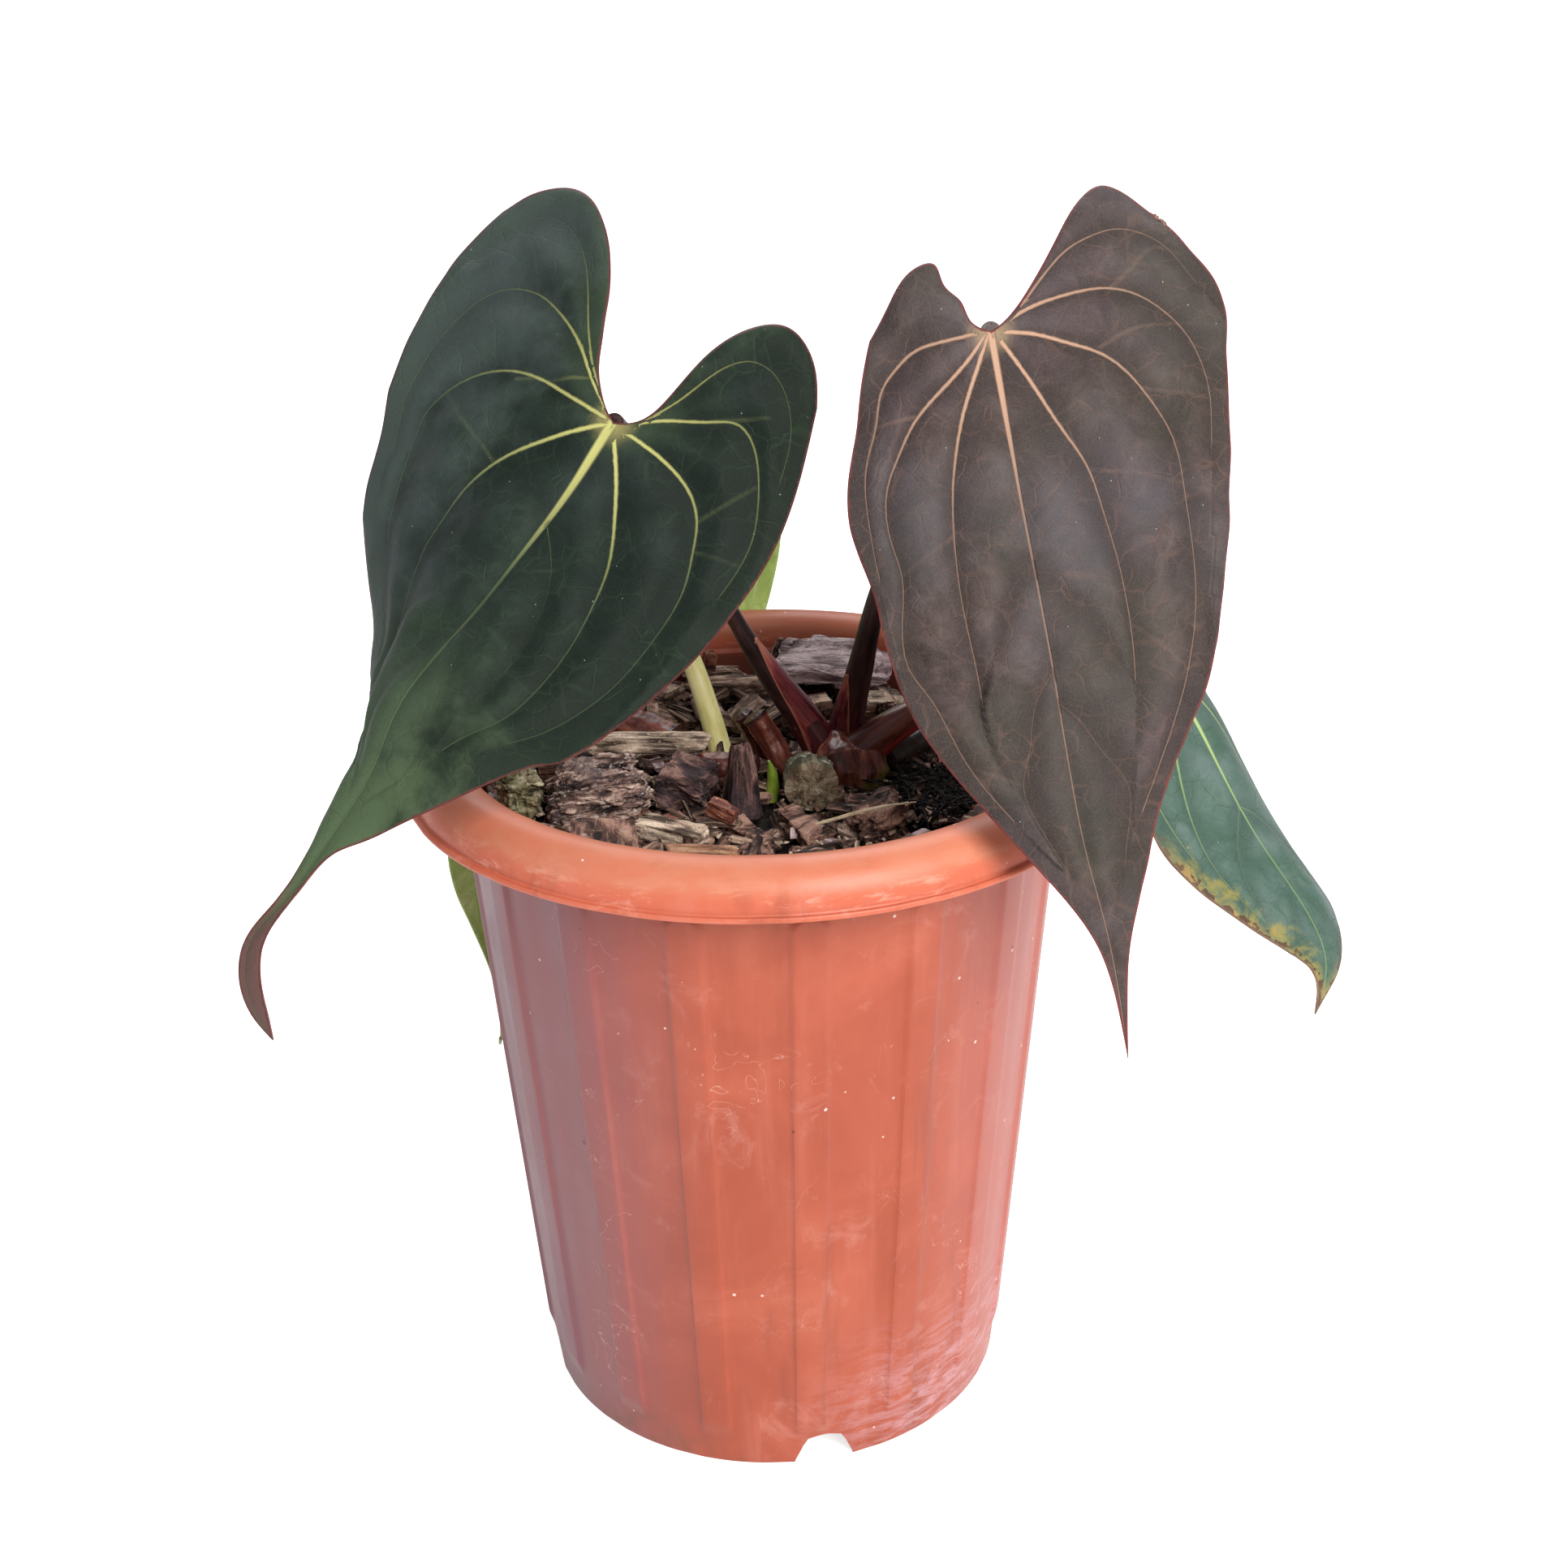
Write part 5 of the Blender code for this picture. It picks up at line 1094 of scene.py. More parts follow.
yellow_skins = [
    leaf_top("yellow_green_top", ((0.16, 0.27, 0.05), (0.28, 0.43, 0.10), (0.50, 0.64, 0.24)),
             (0.50, 0.56, 0.22), (0.42, 0.50, 0.18), (0.60, 0.62, 0.30), (0.22, 0.32, 0.08), (0.30, 0.32, 0.12),
             [((0.30, 0.34, 0.07), (0.7, 1.4), 6.0, 0.5)], net_share=0.3, roughness=0.4),
    leaf_under("yellow_green_underside", ((0.20, 0.31, 0.06), (0.36, 0.50, 0.13), (0.58, 0.70, 0.28)),
               (0.48, 0.56, 0.26)),
    leaf_rim("yellow_rim", (0.36, 0.42, 0.14), (0.46, 0.46, 0.20))]
make_leaf("yellow_green_leaf", "yellow_leaf_blade", YELLOW_BLADE, yellow_skins,
          rows=160, columns=40, puff=1.1, wave=1.0, seed=31)


# ---------------------------------------------------------------- bark and wood finishes
def bark_finish(name, deep, brown, ridge, fleck=None, flecks=0.0, stain=None, roughness=0.86):
    """Broken bark: dark in the splits and paler on raised fibre, partly its own colour and partly painted shade in
    the hollows, with flecks and stains.
    """
    material, tree, shader = finish(name, specular_ior_level=0.25)
    spot = attribute(tree, "grain").outputs["Vector"]
    raised = attribute(tree, "raised").outputs["Fac"]
    fibre = use(tree, FIBRE, vector=spot, fine=1.0)
    # raised darkens the hollows and lightens the ridges: partly the bark's colour, partly painted shade
    level = calc(tree, "MULTIPLY_ADD", calc(tree, "SUBTRACT", fibre["Coarse"], 0.5), 1.5, raised)
    wood = stops(tree, level, (0.30, deep), (0.50, brown), (0.74, ridge))
    wood = mixed(tree, remap(tree, fibre["Lines"], 0.50, 0.66, 0.0, 0.55), wood, ridge)
    wood = mixed(tree, remap(tree, fibre["Lines"], 0.32, 0.45, 0.7, 0.0), wood, deep)
    if stain:
        cloud = grainy(tree, spot, 110.0, 3.0, 0.6, 0.5)
        wood = mixed(tree, remap(tree, cloud, 0.50, 0.62, 0.0, 0.6), wood, stain)
    if fleck:
        crumbs = grainy(tree, spot, 620.0, 3.0, 0.7, 0.4)
        patch = remap(tree, grainy(tree, spot, 150.0, 2.0), 0.42, 0.58)
        few = calc(tree, "MULTIPLY", remap(tree, crumbs, 0.60 - 0.1 * flecks, 0.68), patch)
        wood = mixed(tree, few, wood, fleck)
    pores = grainy(tree, spot, 1500.0, 2.0, 0.6)
    wood = mixed(tree, remap(tree, pores, 0.3, 0.7, 0.28, 0.0), wood, deep)
    rough = remap(tree, fibre["Coarse"], 0.3, 0.7, roughness - 0.12, roughness + 0.08)
    feed(tree, shader, base_color=wood, roughness=rough)
    bumped(tree, shader, calc(tree, "MULTIPLY_ADD", pores, 0.4, fibre["Height"]), 1.0, 0.9 * MM)
    return material


SOIL = bark_finish("dark_mix", (0.004, 0.003, 0.002), (0.012, 0.008, 0.006), (0.035, 0.024, 0.018),
                   (0.16, 0.12, 0.09), 0.1)
DARK_BARK = bark_finish("dark_bark", (0.010, 0.005, 0.004), (0.10, 0.045, 0.033), (0.40, 0.235, 0.175),
                        (0.42, 0.34, 0.28), 0.1)
CRAGGY_BARK = bark_finish("craggy_bark", (0.016, 0.009, 0.008), (0.19, 0.11, 0.09), (0.70, 0.52, 0.43),
                          (0.62, 0.58, 0.55), 0.55, stain=(0.085, 0.06, 0.07))
PURPLE_BARK = bark_finish("purple_bark", (0.012, 0.006, 0.006), (0.075, 0.038, 0.034), (0.26, 0.15, 0.125),
                          stain=(0.05, 0.034, 0.042))
GREY_BARK = bark_finish("grey_slab", (0.10, 0.066, 0.066), (0.52, 0.385, 0.385), (0.76, 0.62, 0.62),
                        stain=(0.33, 0.215, 0.225))
TAN_WOOD = bark_finish("tan_wood", (0.055, 0.035, 0.024), (0.38, 0.275, 0.20), (0.78, 0.63, 0.49),
                       (0.6, 0.5, 0.42), 0.1)
LAYER_BARK = bark_finish("layered_bark", (0.014, 0.008, 0.006), (0.15, 0.085, 0.062), (0.55, 0.385, 0.285))
RED_WOOD = bark_finish("red_wood", (0.028, 0.008, 0.006), (0.15, 0.040, 0.025), (0.38, 0.15, 0.09),
                       (0.6, 0.45, 0.38), 0.05, roughness=0.5)
ORANGE_WOOD = bark_finish("orange_wood", (0.07, 0.028, 0.015), (0.27, 0.115, 0.055), (0.45, 0.26, 0.15),
                          roughness=0.6)
MOSS = bark_finish("pale_moss", (0.045, 0.034, 0.018), (0.34, 0.28, 0.15), (0.74, 0.68, 0.46),
                   (0.66, 0.60, 0.44), 0.4, stain=(0.17, 0.19, 0.06))
ROOT = bark_finish("dark_root", (0.004, 0.003, 0.003), (0.014, 0.010, 0.009), (0.055, 0.040, 0.035))
STRAW = bark_finish("dry_straw", (0.22, 0.16, 0.09), (0.42, 0.33, 0.21), (0.58, 0.48, 0.34))


# ---------------------------------------------------------------- broken bark pieces
def rough_block(bm, size, turn, seed, cuts, crag=0.5, layers=3, ragged=0.16, lump=0.10, fine=1.0):
    """One broken piece round the origin: ragged layered ends, split sides and a craggy skin.

    size is in millimetres with the grain along x; crag is the depth of the skin in millimetres.
    """
    grain = bm.verts.layers.float_vector.get("grain") or bm.verts.layers.float_vector.new("grain")
    raised = bm.verts.layers.float.get("raised") or bm.verts.layers.float.new("raised")
    before = len(bm.verts)
    cube = bmesh.ops.create_cube(bm, size=1.0)["verts"]
    edges = list({edge for vert in cube for edge in vert.link_edges})
    bmesh.ops.subdivide_edges(bm, edges=edges, cuts=cuts, use_grid_fill=True)
    bm.verts.ensure_lookup_table()
    made = bm.verts[before:]
    shift = Vector((seed * 3.1 % 17, seed * 5.7 % 23, seed * 1.9 % 11))
    scale = Vector([s * MM * SPREAD for s in size])
    spin = Euler([math.radians(a) for a in turn]).to_matrix()
    for vert in made:
        u = Vector(vert.co)
        out = Vector([c if abs(c) > 0.499 else 0.0 for c in u]).normalized()
        corner = sum(abs(c) > 0.43 for c in u)
        u *= 1 - 0.035 * (corner - 1)
        bend = noise.noise_vector(u * 1.6 + shift) * lump + noise.noise_vector(u * 4.1 + shift) * lump * 0.45
        u += bend
        sheet = math.floor((u.z + 0.5) * layers + 0.5 * noise.noise(Vector((u.x * 2, u.y * 2, seed))))
        pick = noise.cell(Vector((sheet * 1.7 + 0.5, seed * 1.3, 2.0 if u.x > 0 else 7.0)))
        u.x *= 1 - ragged * (0.5 + 0.5 * pick) * min(abs(vert.co.x) * 2, 1) ** 5
        pick = noise.cell(Vector((sheet * 2.3 + 0.5, seed * 0.7, 3.0 if u.y > 0 else 9.0)))
        u.y *= 1 - 0.8 * ragged * (0.5 + 0.5 * pick) * min(abs(vert.co.y) * 2, 1) ** 5
        p = Vector((u.x * scale.x, u.y * scale.y, u.z * scale.z))
        q = Vector((p.x * 110, p.y * 300, p.z * 330)) * fine + shift
        skin = noise.fractal(q, 0.8, 2.1, 5)
        split = noise.ridged_multi_fractal(q * 0.55, 0.9, 2.2, 4, 1.0, 2.0) - 1.2
        depth = 0.62 * skin + 0.42 * split
        p += out * depth * crag * MM
        vert[grain] = p + shift * 0.01
        vert[raised] = min(max(0.5 + 0.42 * depth, 0.0), 1.0)
        vert.co = spin @ p
    return made


def fit_to(bm, node, grow=1.0):
    """Bring a loose shape to the middle and size of a CAD node's box."""
    low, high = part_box(node)
    spots = np.array([vert.co for vert in bm.verts])
    mine_low, mine_high = Vector(spots.min(0)), Vector(spots.max(0))
    share = Vector([grow * (high[k] - low[k]) / (mine_high[k] - mine_low[k]) for k in range(3)])
    middle, mine = (low + high) / 2, (mine_low + mine_high) / 2
    for vert in bm.verts:
        vert.co = Vector([middle[k] + (vert.co[k] - mine[k]) * share[k] for k in range(3)])


def bark(node, size, turn, seed, material, slot, cuts=12, grow=1.0, **look):
    bm = bmesh.new()
    rough_block(bm, size, turn, seed, cuts, **look)
    fit_to(bm, node, grow)
    piece(node + "_broken", bm, material, node, 42)


def make_hero_bark():
    """The bark pieces that can be told apart in the pot's mouth."""
    bark("bark_craggy", (24, 17, 13), (6, -4, 12), 1, CRAGGY_BARK, "dark_bark", cuts=60, crag=3.2, layers=4,
         ragged=0.1, lump=0.2, fine=1.0)
    bark("bark_dark_left", (13, 14, 11), (10, 8, -20), 2, PURPLE_BARK, "dark_bark", cuts=36, crag=1.8,
         lump=0.2)
    bark("bark_slab", (30, 17, 3.2), (20, 3, -4), 4, GREY_BARK, "grey_bark", cuts=40, crag=0.35, layers=3,
         ragged=0.34, lump=0.2, grow=1.08)
    bark("bark_block", (12, 9, 9), (5, 8, 20), 5, TAN_WOOD, "weathered_wood", cuts=20, crag=0.5)
    bark("bark_layers", (22, 11, 6), (-6, 4, 8), 6, LAYER_BARK, "dark_bark", cuts=24, crag=0.5, layers=6,
         ragged=0.3)
    bark("bark_layers_left", (20, 10, 6), (6, -5, -38), 7, LAYER_BARK, "dark_bark", cuts=24, crag=0.5,
         layers=6, ragged=0.3)
    bark("stick_grey", (33, 5.4, 5), (0, 0.5, -1), 8, TAN_WOOD, "weathered_wood", cuts=30, crag=0.35,
         layers=4, ragged=0.10, lump=0.05)
    bark("stick_tan", (19, 6, 5), (8, 0, -28), 9, TAN_WOOD, "weathered_wood", cuts=24, crag=0.4, layers=3,
         lump=0.08)
    bark("stick_back", (4, 5, 15), (-18, 22, 0), 10, DARK_BARK, "dark_bark", cuts=14, crag=0.4)
    bark("stub_upright", (3.4, 4, 11), (-6, 4, 10), 11, RED_WOOD, "cut_stem", cuts=14, crag=0.25)
    bark("chip_red", (8, 3.6, 4), (0, 10, -35), 12, RED_WOOD, "cut_stem", cuts=14, crag=0.25, lump=0.14)
    bark("chip_front_left", (6, 17, 4), (0, 8, 37), 13, DARK_BARK, "dark_bark", cuts=22, crag=0.7, layers=4)
    bark("chip_front_right", (6, 17, 5), (4, -6, 26), 14, DARK_BARK, "dark_bark", cuts=22, crag=0.7)
    bark("strip_orange", (18, 5, 2.6), (4, 2, -2), 15, ORANGE_WOOD, "cut_stem", cuts=20, crag=0.2, lump=0.05,
         ragged=0.08)
    bark("bark_right_front", (13, 9, 9), (12, -8, 35), 16, DARK_BARK, "dark_bark", cuts=30, crag=1.6,
         lump=0.28, ragged=0.3)
    bark("moss_clump", (11, 15, 11), (0, 6, 8), 17, MOSS, "dry_moss", cuts=44, crag=1.5, lump=0.25, fine=2.0)
    others = (("bark_left_rear", (14, 15, 8)), ("bark_rear_right", (14, 10, 7)), ("bark_side_right", (12, 15, 8)),
              ("bark_front_far", (22, 10, 6)), ("bark_front_left", (15, 12, 8)), ("bark_front_low", (20, 9, 6)),
              ("bark_middle_rear", (13, 11, 6)), ("bark_side_front_right", (10, 14, 7)))
    for k, (node, size) in enumerate(others):
        bark(node, size, (7, -5, 23 * k), 30 + k, LAYER_BARK if k % 2 else DARK_BARK, "dark_bark", cuts=16,
             crag=0.8, ragged=0.2)
    bark("bark_front_right", (17, 10, 7), (3, -5, 40), 23, GREY_BARK, "grey_bark", cuts=18, crag=0.6)
    bark("bark_rear_left", (10, 12, 7), (3, 5, 40), 28, GREY_BARK, "grey_bark", cuts=16, crag=0.6)

    bm = bmesh.new()                                  # upright spike, drawn to a blunt point
    rough_block(bm, (15, 9, 6), (0, -88, 12), 3, 26, crag=0.8, layers=3, lump=0.1)
    spots = [vert.co.z for vert in bm.verts]
    low, high = min(spots), max(spots)
    for vert in bm.verts:
        slim = 1 - 0.58 * ((vert.co.z - low) / (high - low)) ** 0.8
        vert.co.x *= slim
        vert.co.y *= slim
    fit_to(bm, "bark_spike")
    piece("bark_spike_broken", bm, PURPLE_BARK, "bark_spike", 42)


def make_mix():
    """The settled mix under the bark, uneven on top."""
    bm = bmesh.new()
    grain = bm.verts.layers.float_vector.new("grain")
    raised = bm.verts.layers.float.new("raised")
    floor_top = FOOT_RING_HEIGHT + FLOOR_THICKNESS + GAP
    edge = body_radius(BED_LEVEL) - WALL - GAP
    spots = [(0, floor_top), (body_radius(floor_top) - WALL - GAP, floor_top), (edge - 0.5 * MM, BED_LEVEL - 6 * MM)]
    spots += [(r, BED_LEVEL - MM) for r in np.linspace(edge - 0.2 * MM, MM, 46)] + [(0, BED_LEVEL - MM)]
    verts = [bm.verts.new((r, 0, z)) for r, z in spots]
    edges = [bm.edges.new(pair) for pair in zip(verts, verts[1:])]
    bmesh.ops.spin(bm, geom=verts + edges, angle=2 * math.pi, steps=220, axis=(0, 0, 1), cent=(0, 0, 0),
                   use_merge=True)
    bmesh.ops.remove_doubles(bm, verts=bm.verts[:], dist=0.02 * MM)
    for vert in bm.verts:
        if vert.co.z > BED_LEVEL - 2 * MM:
            depth = noise.fractal(vert.co * 150, 0.7, 2.1, 4)
            vert.co.z += depth * 1.8 * MM - 0.8 * MM
            vert[raised] = min(max(0.45 + 0.4 * depth, 0), 1)
        vert[grain] = vert.co
    piece("mix_top", bm, SOIL, "bark_mix", 60, recalculate=True)


def scatter(name, material, count, seed, lengths, lift, keep=None, flat=0.5, slim=1.0):
    """Many small broken chips lying about the bed, as one piece."""
    rng = random.Random(seed)
    bm = bmesh.new()
    reach = body_radius(BED_LEVEL) / MM - 4.0
    placed = 0
    while placed < count:
        turn = rng.uniform(0, 2 * math.pi)
        r = reach * math.sqrt(rng.random())
        x, y = r * math.cos(turn), r * math.sin(turn)
        if keep and not keep(x, y):
            continue
        length = rng.uniform(*lengths)
        size = (length, length * slim * rng.uniform(0.3, 0.6), length * slim * rng.uniform(0.15, 0.35))
        tilt = (rng.gauss(0, 22) * flat * 2, rng.gauss(0, 20) * flat * 2, rng.uniform(0, 360))
        chip = rough_block(bm, size, tilt, rng.uniform(0, 50), 1, crag=0.25, layers=2, ragged=0.25, lump=0.16)
        room = max(reach - math.hypot(x, y) + 1.5, 0)
        place = Vector((x * MM, y * MM, BED_LEVEL + (rng.uniform(*lift)) * MM))
        widest = max(math.hypot(v.co.x, v.co.y) for v in chip)
        shrink = min(1.0, room * MM / widest) if widest > 0 else 1.0
        for vert in chip:
            vert.co = vert.co * shrink + place
        placed += 1
    return piece(name, bm, material, None, 35)


def away_from_crown(x, y):
    return math.hypot(x - 20, y - 9) > 9


def at_the_back(x, y):
    return y > 30 and x > -35


make_mix()
make_hero_bark()
scatter("bark_chips_back", LAYER_BARK, 90, 46, (7.0, 16.0), (1.0, 9.0), at_the_back, 0.35)
scatter("bark_chips_dark", DARK_BARK, 520, 41, (3.0, 10.0), (-1.2, 3.0), away_from_crown)
scatter("bark_chips_layered", LAYER_BARK, 260, 42, (3.0, 11.0), (-0.8, 3.6), away_from_crown)
scatter("bark_chips_grey", GREY_BARK, 60, 43, (2.5, 8.0), (0.0, 3.6), away_from_crown)
scatter("bark_chips_red", RED_WOOD, 60, 44, (2.5, 7.0), (0.0, 3.8), away_from_crown)
scatter("bark_crumbs", TAN_WOOD, 700, 45, (0.7, 2.4), (0.8, 5.0), away_from_crown)
scatter("bark_slivers", LAYER_BARK, 130, 47, (8.0, 15.0), (0.5, 5.0), away_from_crown, 0.4, 0.4)


# ---------------------------------------------------------------- stems and crown
def skin_finish(name, dark, middle, light, blush=None, specks=0.02, roughness=0.36, coat=0.06):
    """Living or half-dry stem skin, streaked along its length with pale dots."""
    material, tree, shader = finish(name, specular_ior_level=0.3, coat_weight=coat, coat_roughness=0.25)
    spot = attribute(tree, "grain").outputs["Vector"]
    streaks = grainy(tree, scaled(tree, spot, (55, 520, 520)), 1.0, 4.0, 0.6, 0.3)
    cloud = grainy(tree, scaled(tree, spot, (60, 120, 120)), 1.0, 4.0, 0.6, 0.5)
    level = calc(tree, "MULTIPLY_ADD", calc(tree, "SUBTRACT", streaks, 0.5), 0.9, cloud)
    skin = stops(tree, level, (0.30, dark), (0.50, middle), (0.74, light))
    if blush:
        share = attribute(tree, "blush").outputs["Fac"]
        uneven = calc(tree, "MULTIPLY_ADD", calc(tree, "SUBTRACT", streaks, 0.5), 0.9, share)
        skin = mixed(tree, remap(tree, uneven, 0.3, 0.75), skin, blush)
    dots = use(tree, SPECKS, vector=scaled(tree, spot, (0.5, 1, 1)), scale=950.0, amount=specks)["Mask"]
    skin = mixed(tree, calc(tree, "MULTIPLY", dots, 0.55), skin, (0.62, 0.50, 0.42))
    rough = remap(tree, streaks, 0.3, 0.7, roughness - 0.07, roughness + 0.12)
    feed(tree, shader, base_color=skin, roughness=rough)
    bumped(tree, shader, streaks, 0.35, 0.35 * MM)
    return material


DARK_STEM = skin_finish("dark_stem_skin", (0.010, 0.004, 0.004), (0.026, 0.010, 0.009), (0.060, 0.028, 0.024),
                        (0.10, 0.014, 0.018), specks=0.12)
RED_SKIN = skin_finish("wine_red_skin", (0.055, 0.005, 0.008), (0.17, 0.016, 0.022), (0.36, 0.075, 0.07),
                       (0.42, 0.15, 0.10), specks=0.03, roughness=0.27, coat=0.3)
OLD_STEM_SKIN = skin_finish("old_leaf_stem_skin", (0.045, 0.012, 0.010), (0.10, 0.026, 0.020),
                            (0.20, 0.07, 0.045), (0.36, 0.045, 0.04), roughness=0.28, coat=0.3)
CUT_SKIN = skin_finish("cut_stem_skin", (0.030, 0.007, 0.005), (0.125, 0.028, 0.018), (0.34, 0.12, 0.075),
                       (0.04, 0.014, 0.01), specks=0.10, roughness=0.34, coat=0.15)
BLUE_STRIP = skin_finish("blue_grey_bloom", (0.05, 0.045, 0.06), (0.10, 0.095, 0.13), (0.19, 0.19, 0.24))
BLACK_STEM = skin_finish("dark_dead_stem", (0.012, 0.008, 0.007), (0.034, 0.023, 0.019), (0.085, 0.058, 0.048),
                         specks=0.05, roughness=0.42)
YELLOW_STEM = skin_finish("yellow_green_skin", (0.55, 0.52, 0.17), (0.76, 0.71, 0.30), (0.86, 0.82, 0.46),
                          (0.62, 0.62, 0.24), specks=0.08, roughness=0.42)
CROWN_SKIN = skin_finish("crown_sheaths", (0.060, 0.014, 0.011), (0.17, 0.042, 0.027), (0.38, 0.16, 0.09),
                         (0.17, 0.16, 0.045), specks=0.05, roughness=0.3)
GREEN_SKIN = skin_finish("fresh_shoot", (0.12, 0.18, 0.02), (0.22, 0.32, 0.035), (0.40, 0.48, 0.10))
RHIZOME = bark_finish("rhizome_skin", (0.030, 0.028, 0.014), (0.125, 0.105, 0.055), (0.34, 0.32, 0.22),
                      (0.62, 0.62, 0.52), 0.5, stain=(0.045, 0.075, 0.045))
RHIZOME_CUT = bark_finish("rhizome_cut", (0.075, 0.050, 0.028), (0.21, 0.155, 0.095), (0.38, 0.31, 0.21),
                          (0.55, 0.50, 0.40), 0.2)


def blushed(bm, amount):
    """Store how far each place along a stem takes the second colour."""
    layer = bm.verts.layers.float.new("blush")
    grain = bm.verts.layers.float_vector.get("grain")
    longest = max(vert[grain][0] for vert in bm.verts)
    for vert in bm.verts:
        vert[layer] = amount(vert[grain][0] / longest, vert)


def stem_piece(name, node, path, radii, material, amount=None, sides=28, rings=70, shape=None, wave=0.0,
               seed=1):
    bm = bmesh.new()
    tube(bm, path, radii, sides, rings, shape)
    bm.normal_update()
    if wave:
        for vert in bm.verts:
            vert.co += vert.normal * noise.fractal(vert.co * 260 + Vector((seed, 0, 0)), 0.8, 2.0, 4) * wave * MM
    blushed(bm, amount or (lambda share, vert: 0.0))
    return piece(name, bm, material, node, 50, recalculate=True)


def behind(blade, reach):
    """A place behind a blade's junction, measured out of its underside."""
    m, _, _, n = blade.frame(0.0)
    return Vector(m - n * (0.5 * MM + reach * MM * SPREAD))


def flattened(share, angle):
    """A stem that is a little channelled on one side near its foot."""
    return 1.0 - 0.10 * (1 - share) * (1 + math.cos(angle * 2)) / 2


R = PETIOLE_RADIUS
stem_piece("dark_stem", "dark_leaf_stem",
           [bed(17.5, 11.6, 3.0), bed(13, 12.6, 11), bed(4, 13.6, 24), bed(-5.5, 13, 41),
            behind(DARK_BLADE, 8), behind(DARK_BLADE, -0.2)],
           [6.0 * MM, 4.3 * MM, 3.1 * MM, R * 0.9, R * 0.86, R * 0.86, R * 0.86, R * 0.9, R * 0.95], DARK_STEM,
           lambda share, vert: max(0, 1 - share * 4.5), shape=flattened)
stem_piece("bronze_stem", "bronze_leaf_stem",
           [bed(21, 12.0, 3.0), bed(21.6, 12.4, 10), bed(25, 11.5, 26), bed(29, 9, 45),
            behind(BRONZE_BLADE, 8), behind(BRONZE_BLADE, -0.2)],
           [5.6 * MM, 4.0 * MM, 3.0 * MM, R * 0.98, R * 0.92, R * 0.9, R * 0.9, R * 0.9, R * 0.95], DARK_STEM,
           lambda share, vert: max(0, 0.9 - share * 3.5), shape=flattened)
# the old stem's faces turned upwards take the bright red: painted light from above
stem_piece("old_stem", "old_leaf_stem",
           [bed(20, 6.2, 2.5), bed(28, 6.6, 9.6), bed(39.5, 8, 17), bed(61, 7, 24), air(84, 4, 8.5),
            behind(OLD_BLADE, 8), behind(OLD_BLADE, -0.2)],
           [7.0 * MM, 5.3 * MM, 4.0 * MM, 3.3 * MM, 2.8 * MM, 2.6 * MM, 2.5 * MM, 2.4 * MM], OLD_STEM_SKIN,
           lambda share, vert: 0.9 if vert.normal.z > 0.2 else 0.2, shape=flattened)
stem_piece("yellow_stem", "yellow_leaf_stem",
           [bed(-9.5, 18.5, -2), bed(-10.5, 19.5, 2), bed(-18, 27, 26), air(-26, 60, 13),
            behind(YELLOW_BLADE, 8), behind(YELLOW_BLADE, -0.2)],
           [3.1 * MM, 2.7 * MM, R, R * 0.95, R * 0.95], YELLOW_STEM, lambda share, vert: share)


def wrap(name, node, path, inner, half_angle, facing, thickness, rings=44, columns=22):
    """A thin pointed bract held part of the way round a stem."""
    places = [Vector(p) for p in curve_through([list(p) for p in path], rings)]
    ahead = [(places[min(i + 1, rings - 1)] - places[max(i - 1, 0)]).normalized() for i in range(rings)]
    bm = bmesh.new()
    grain = bm.verts.layers.float_vector.new("grain")
    blush = bm.verts.layers.float.new("blush")
    facing = Vector(facing)
    for vert in bmesh.ops.create_grid(bm, x_segments=rings - 1, y_segments=columns, size=1.0)["verts"]:
        row = round((vert.co.x + 1) / 2 * (rings - 1))
        side = vert.co.y
        share = row / (rings - 1)
        way = ahead[row]
        u = (facing - way * facing.dot(way)).normalized()
        v = way.cross(u)
        half = half_angle * (1 - 0.95 * share ** 1.5)
        angle = side * half
        spring = 0.5 * MM * abs(side) ** 3 * (1 - share) + 0.5 * MM * share ** 6
        r = inner[0] + (inner[1] - inner[0]) * share + spring
        r += 0.12 * MM * noise.noise(Vector((share * 9, side * 2, 4.0)))
        vert.co = places[row] + (u * math.cos(angle) + v * math.sin(angle)) * r
        vert[grain] = (share * 0.03, angle * inner[0], 0.0)
        vert[blush] = max(abs(side) ** 6, share ** 5)
    thing = piece(name, bm, RED_SKIN, node, 180)
    skin = thing.modifiers.new("skin", "SOLIDIFY")
    skin.thickness = thickness
    skin.offset = 0.0
    return settle(thing)


wrap("dark_bract", "dark_stem_bract", [bed(15.5, 11.8, 6.5), bed(12.6, 12.5, 12.5), bed(4.2, 13.5, 24), bed(-3.2, 13.3, 35.5)],
     (4.1 * MM, 2.6 * MM), 1.7, (0.75, -0.55, 0.5), 0.7 * MM)
wrap("bronze_bract", "bronze_stem_bract", [bed(21.2, 11.8, 7.5), bed(22.0, 12.2, 12), bed(23.6, 11.8, 19), bed(25, 11.4, 27)],
     (4.2 * MM, 3.1 * MM), 1.2, (-0.75, -0.55, 0.2), 0.7 * MM)


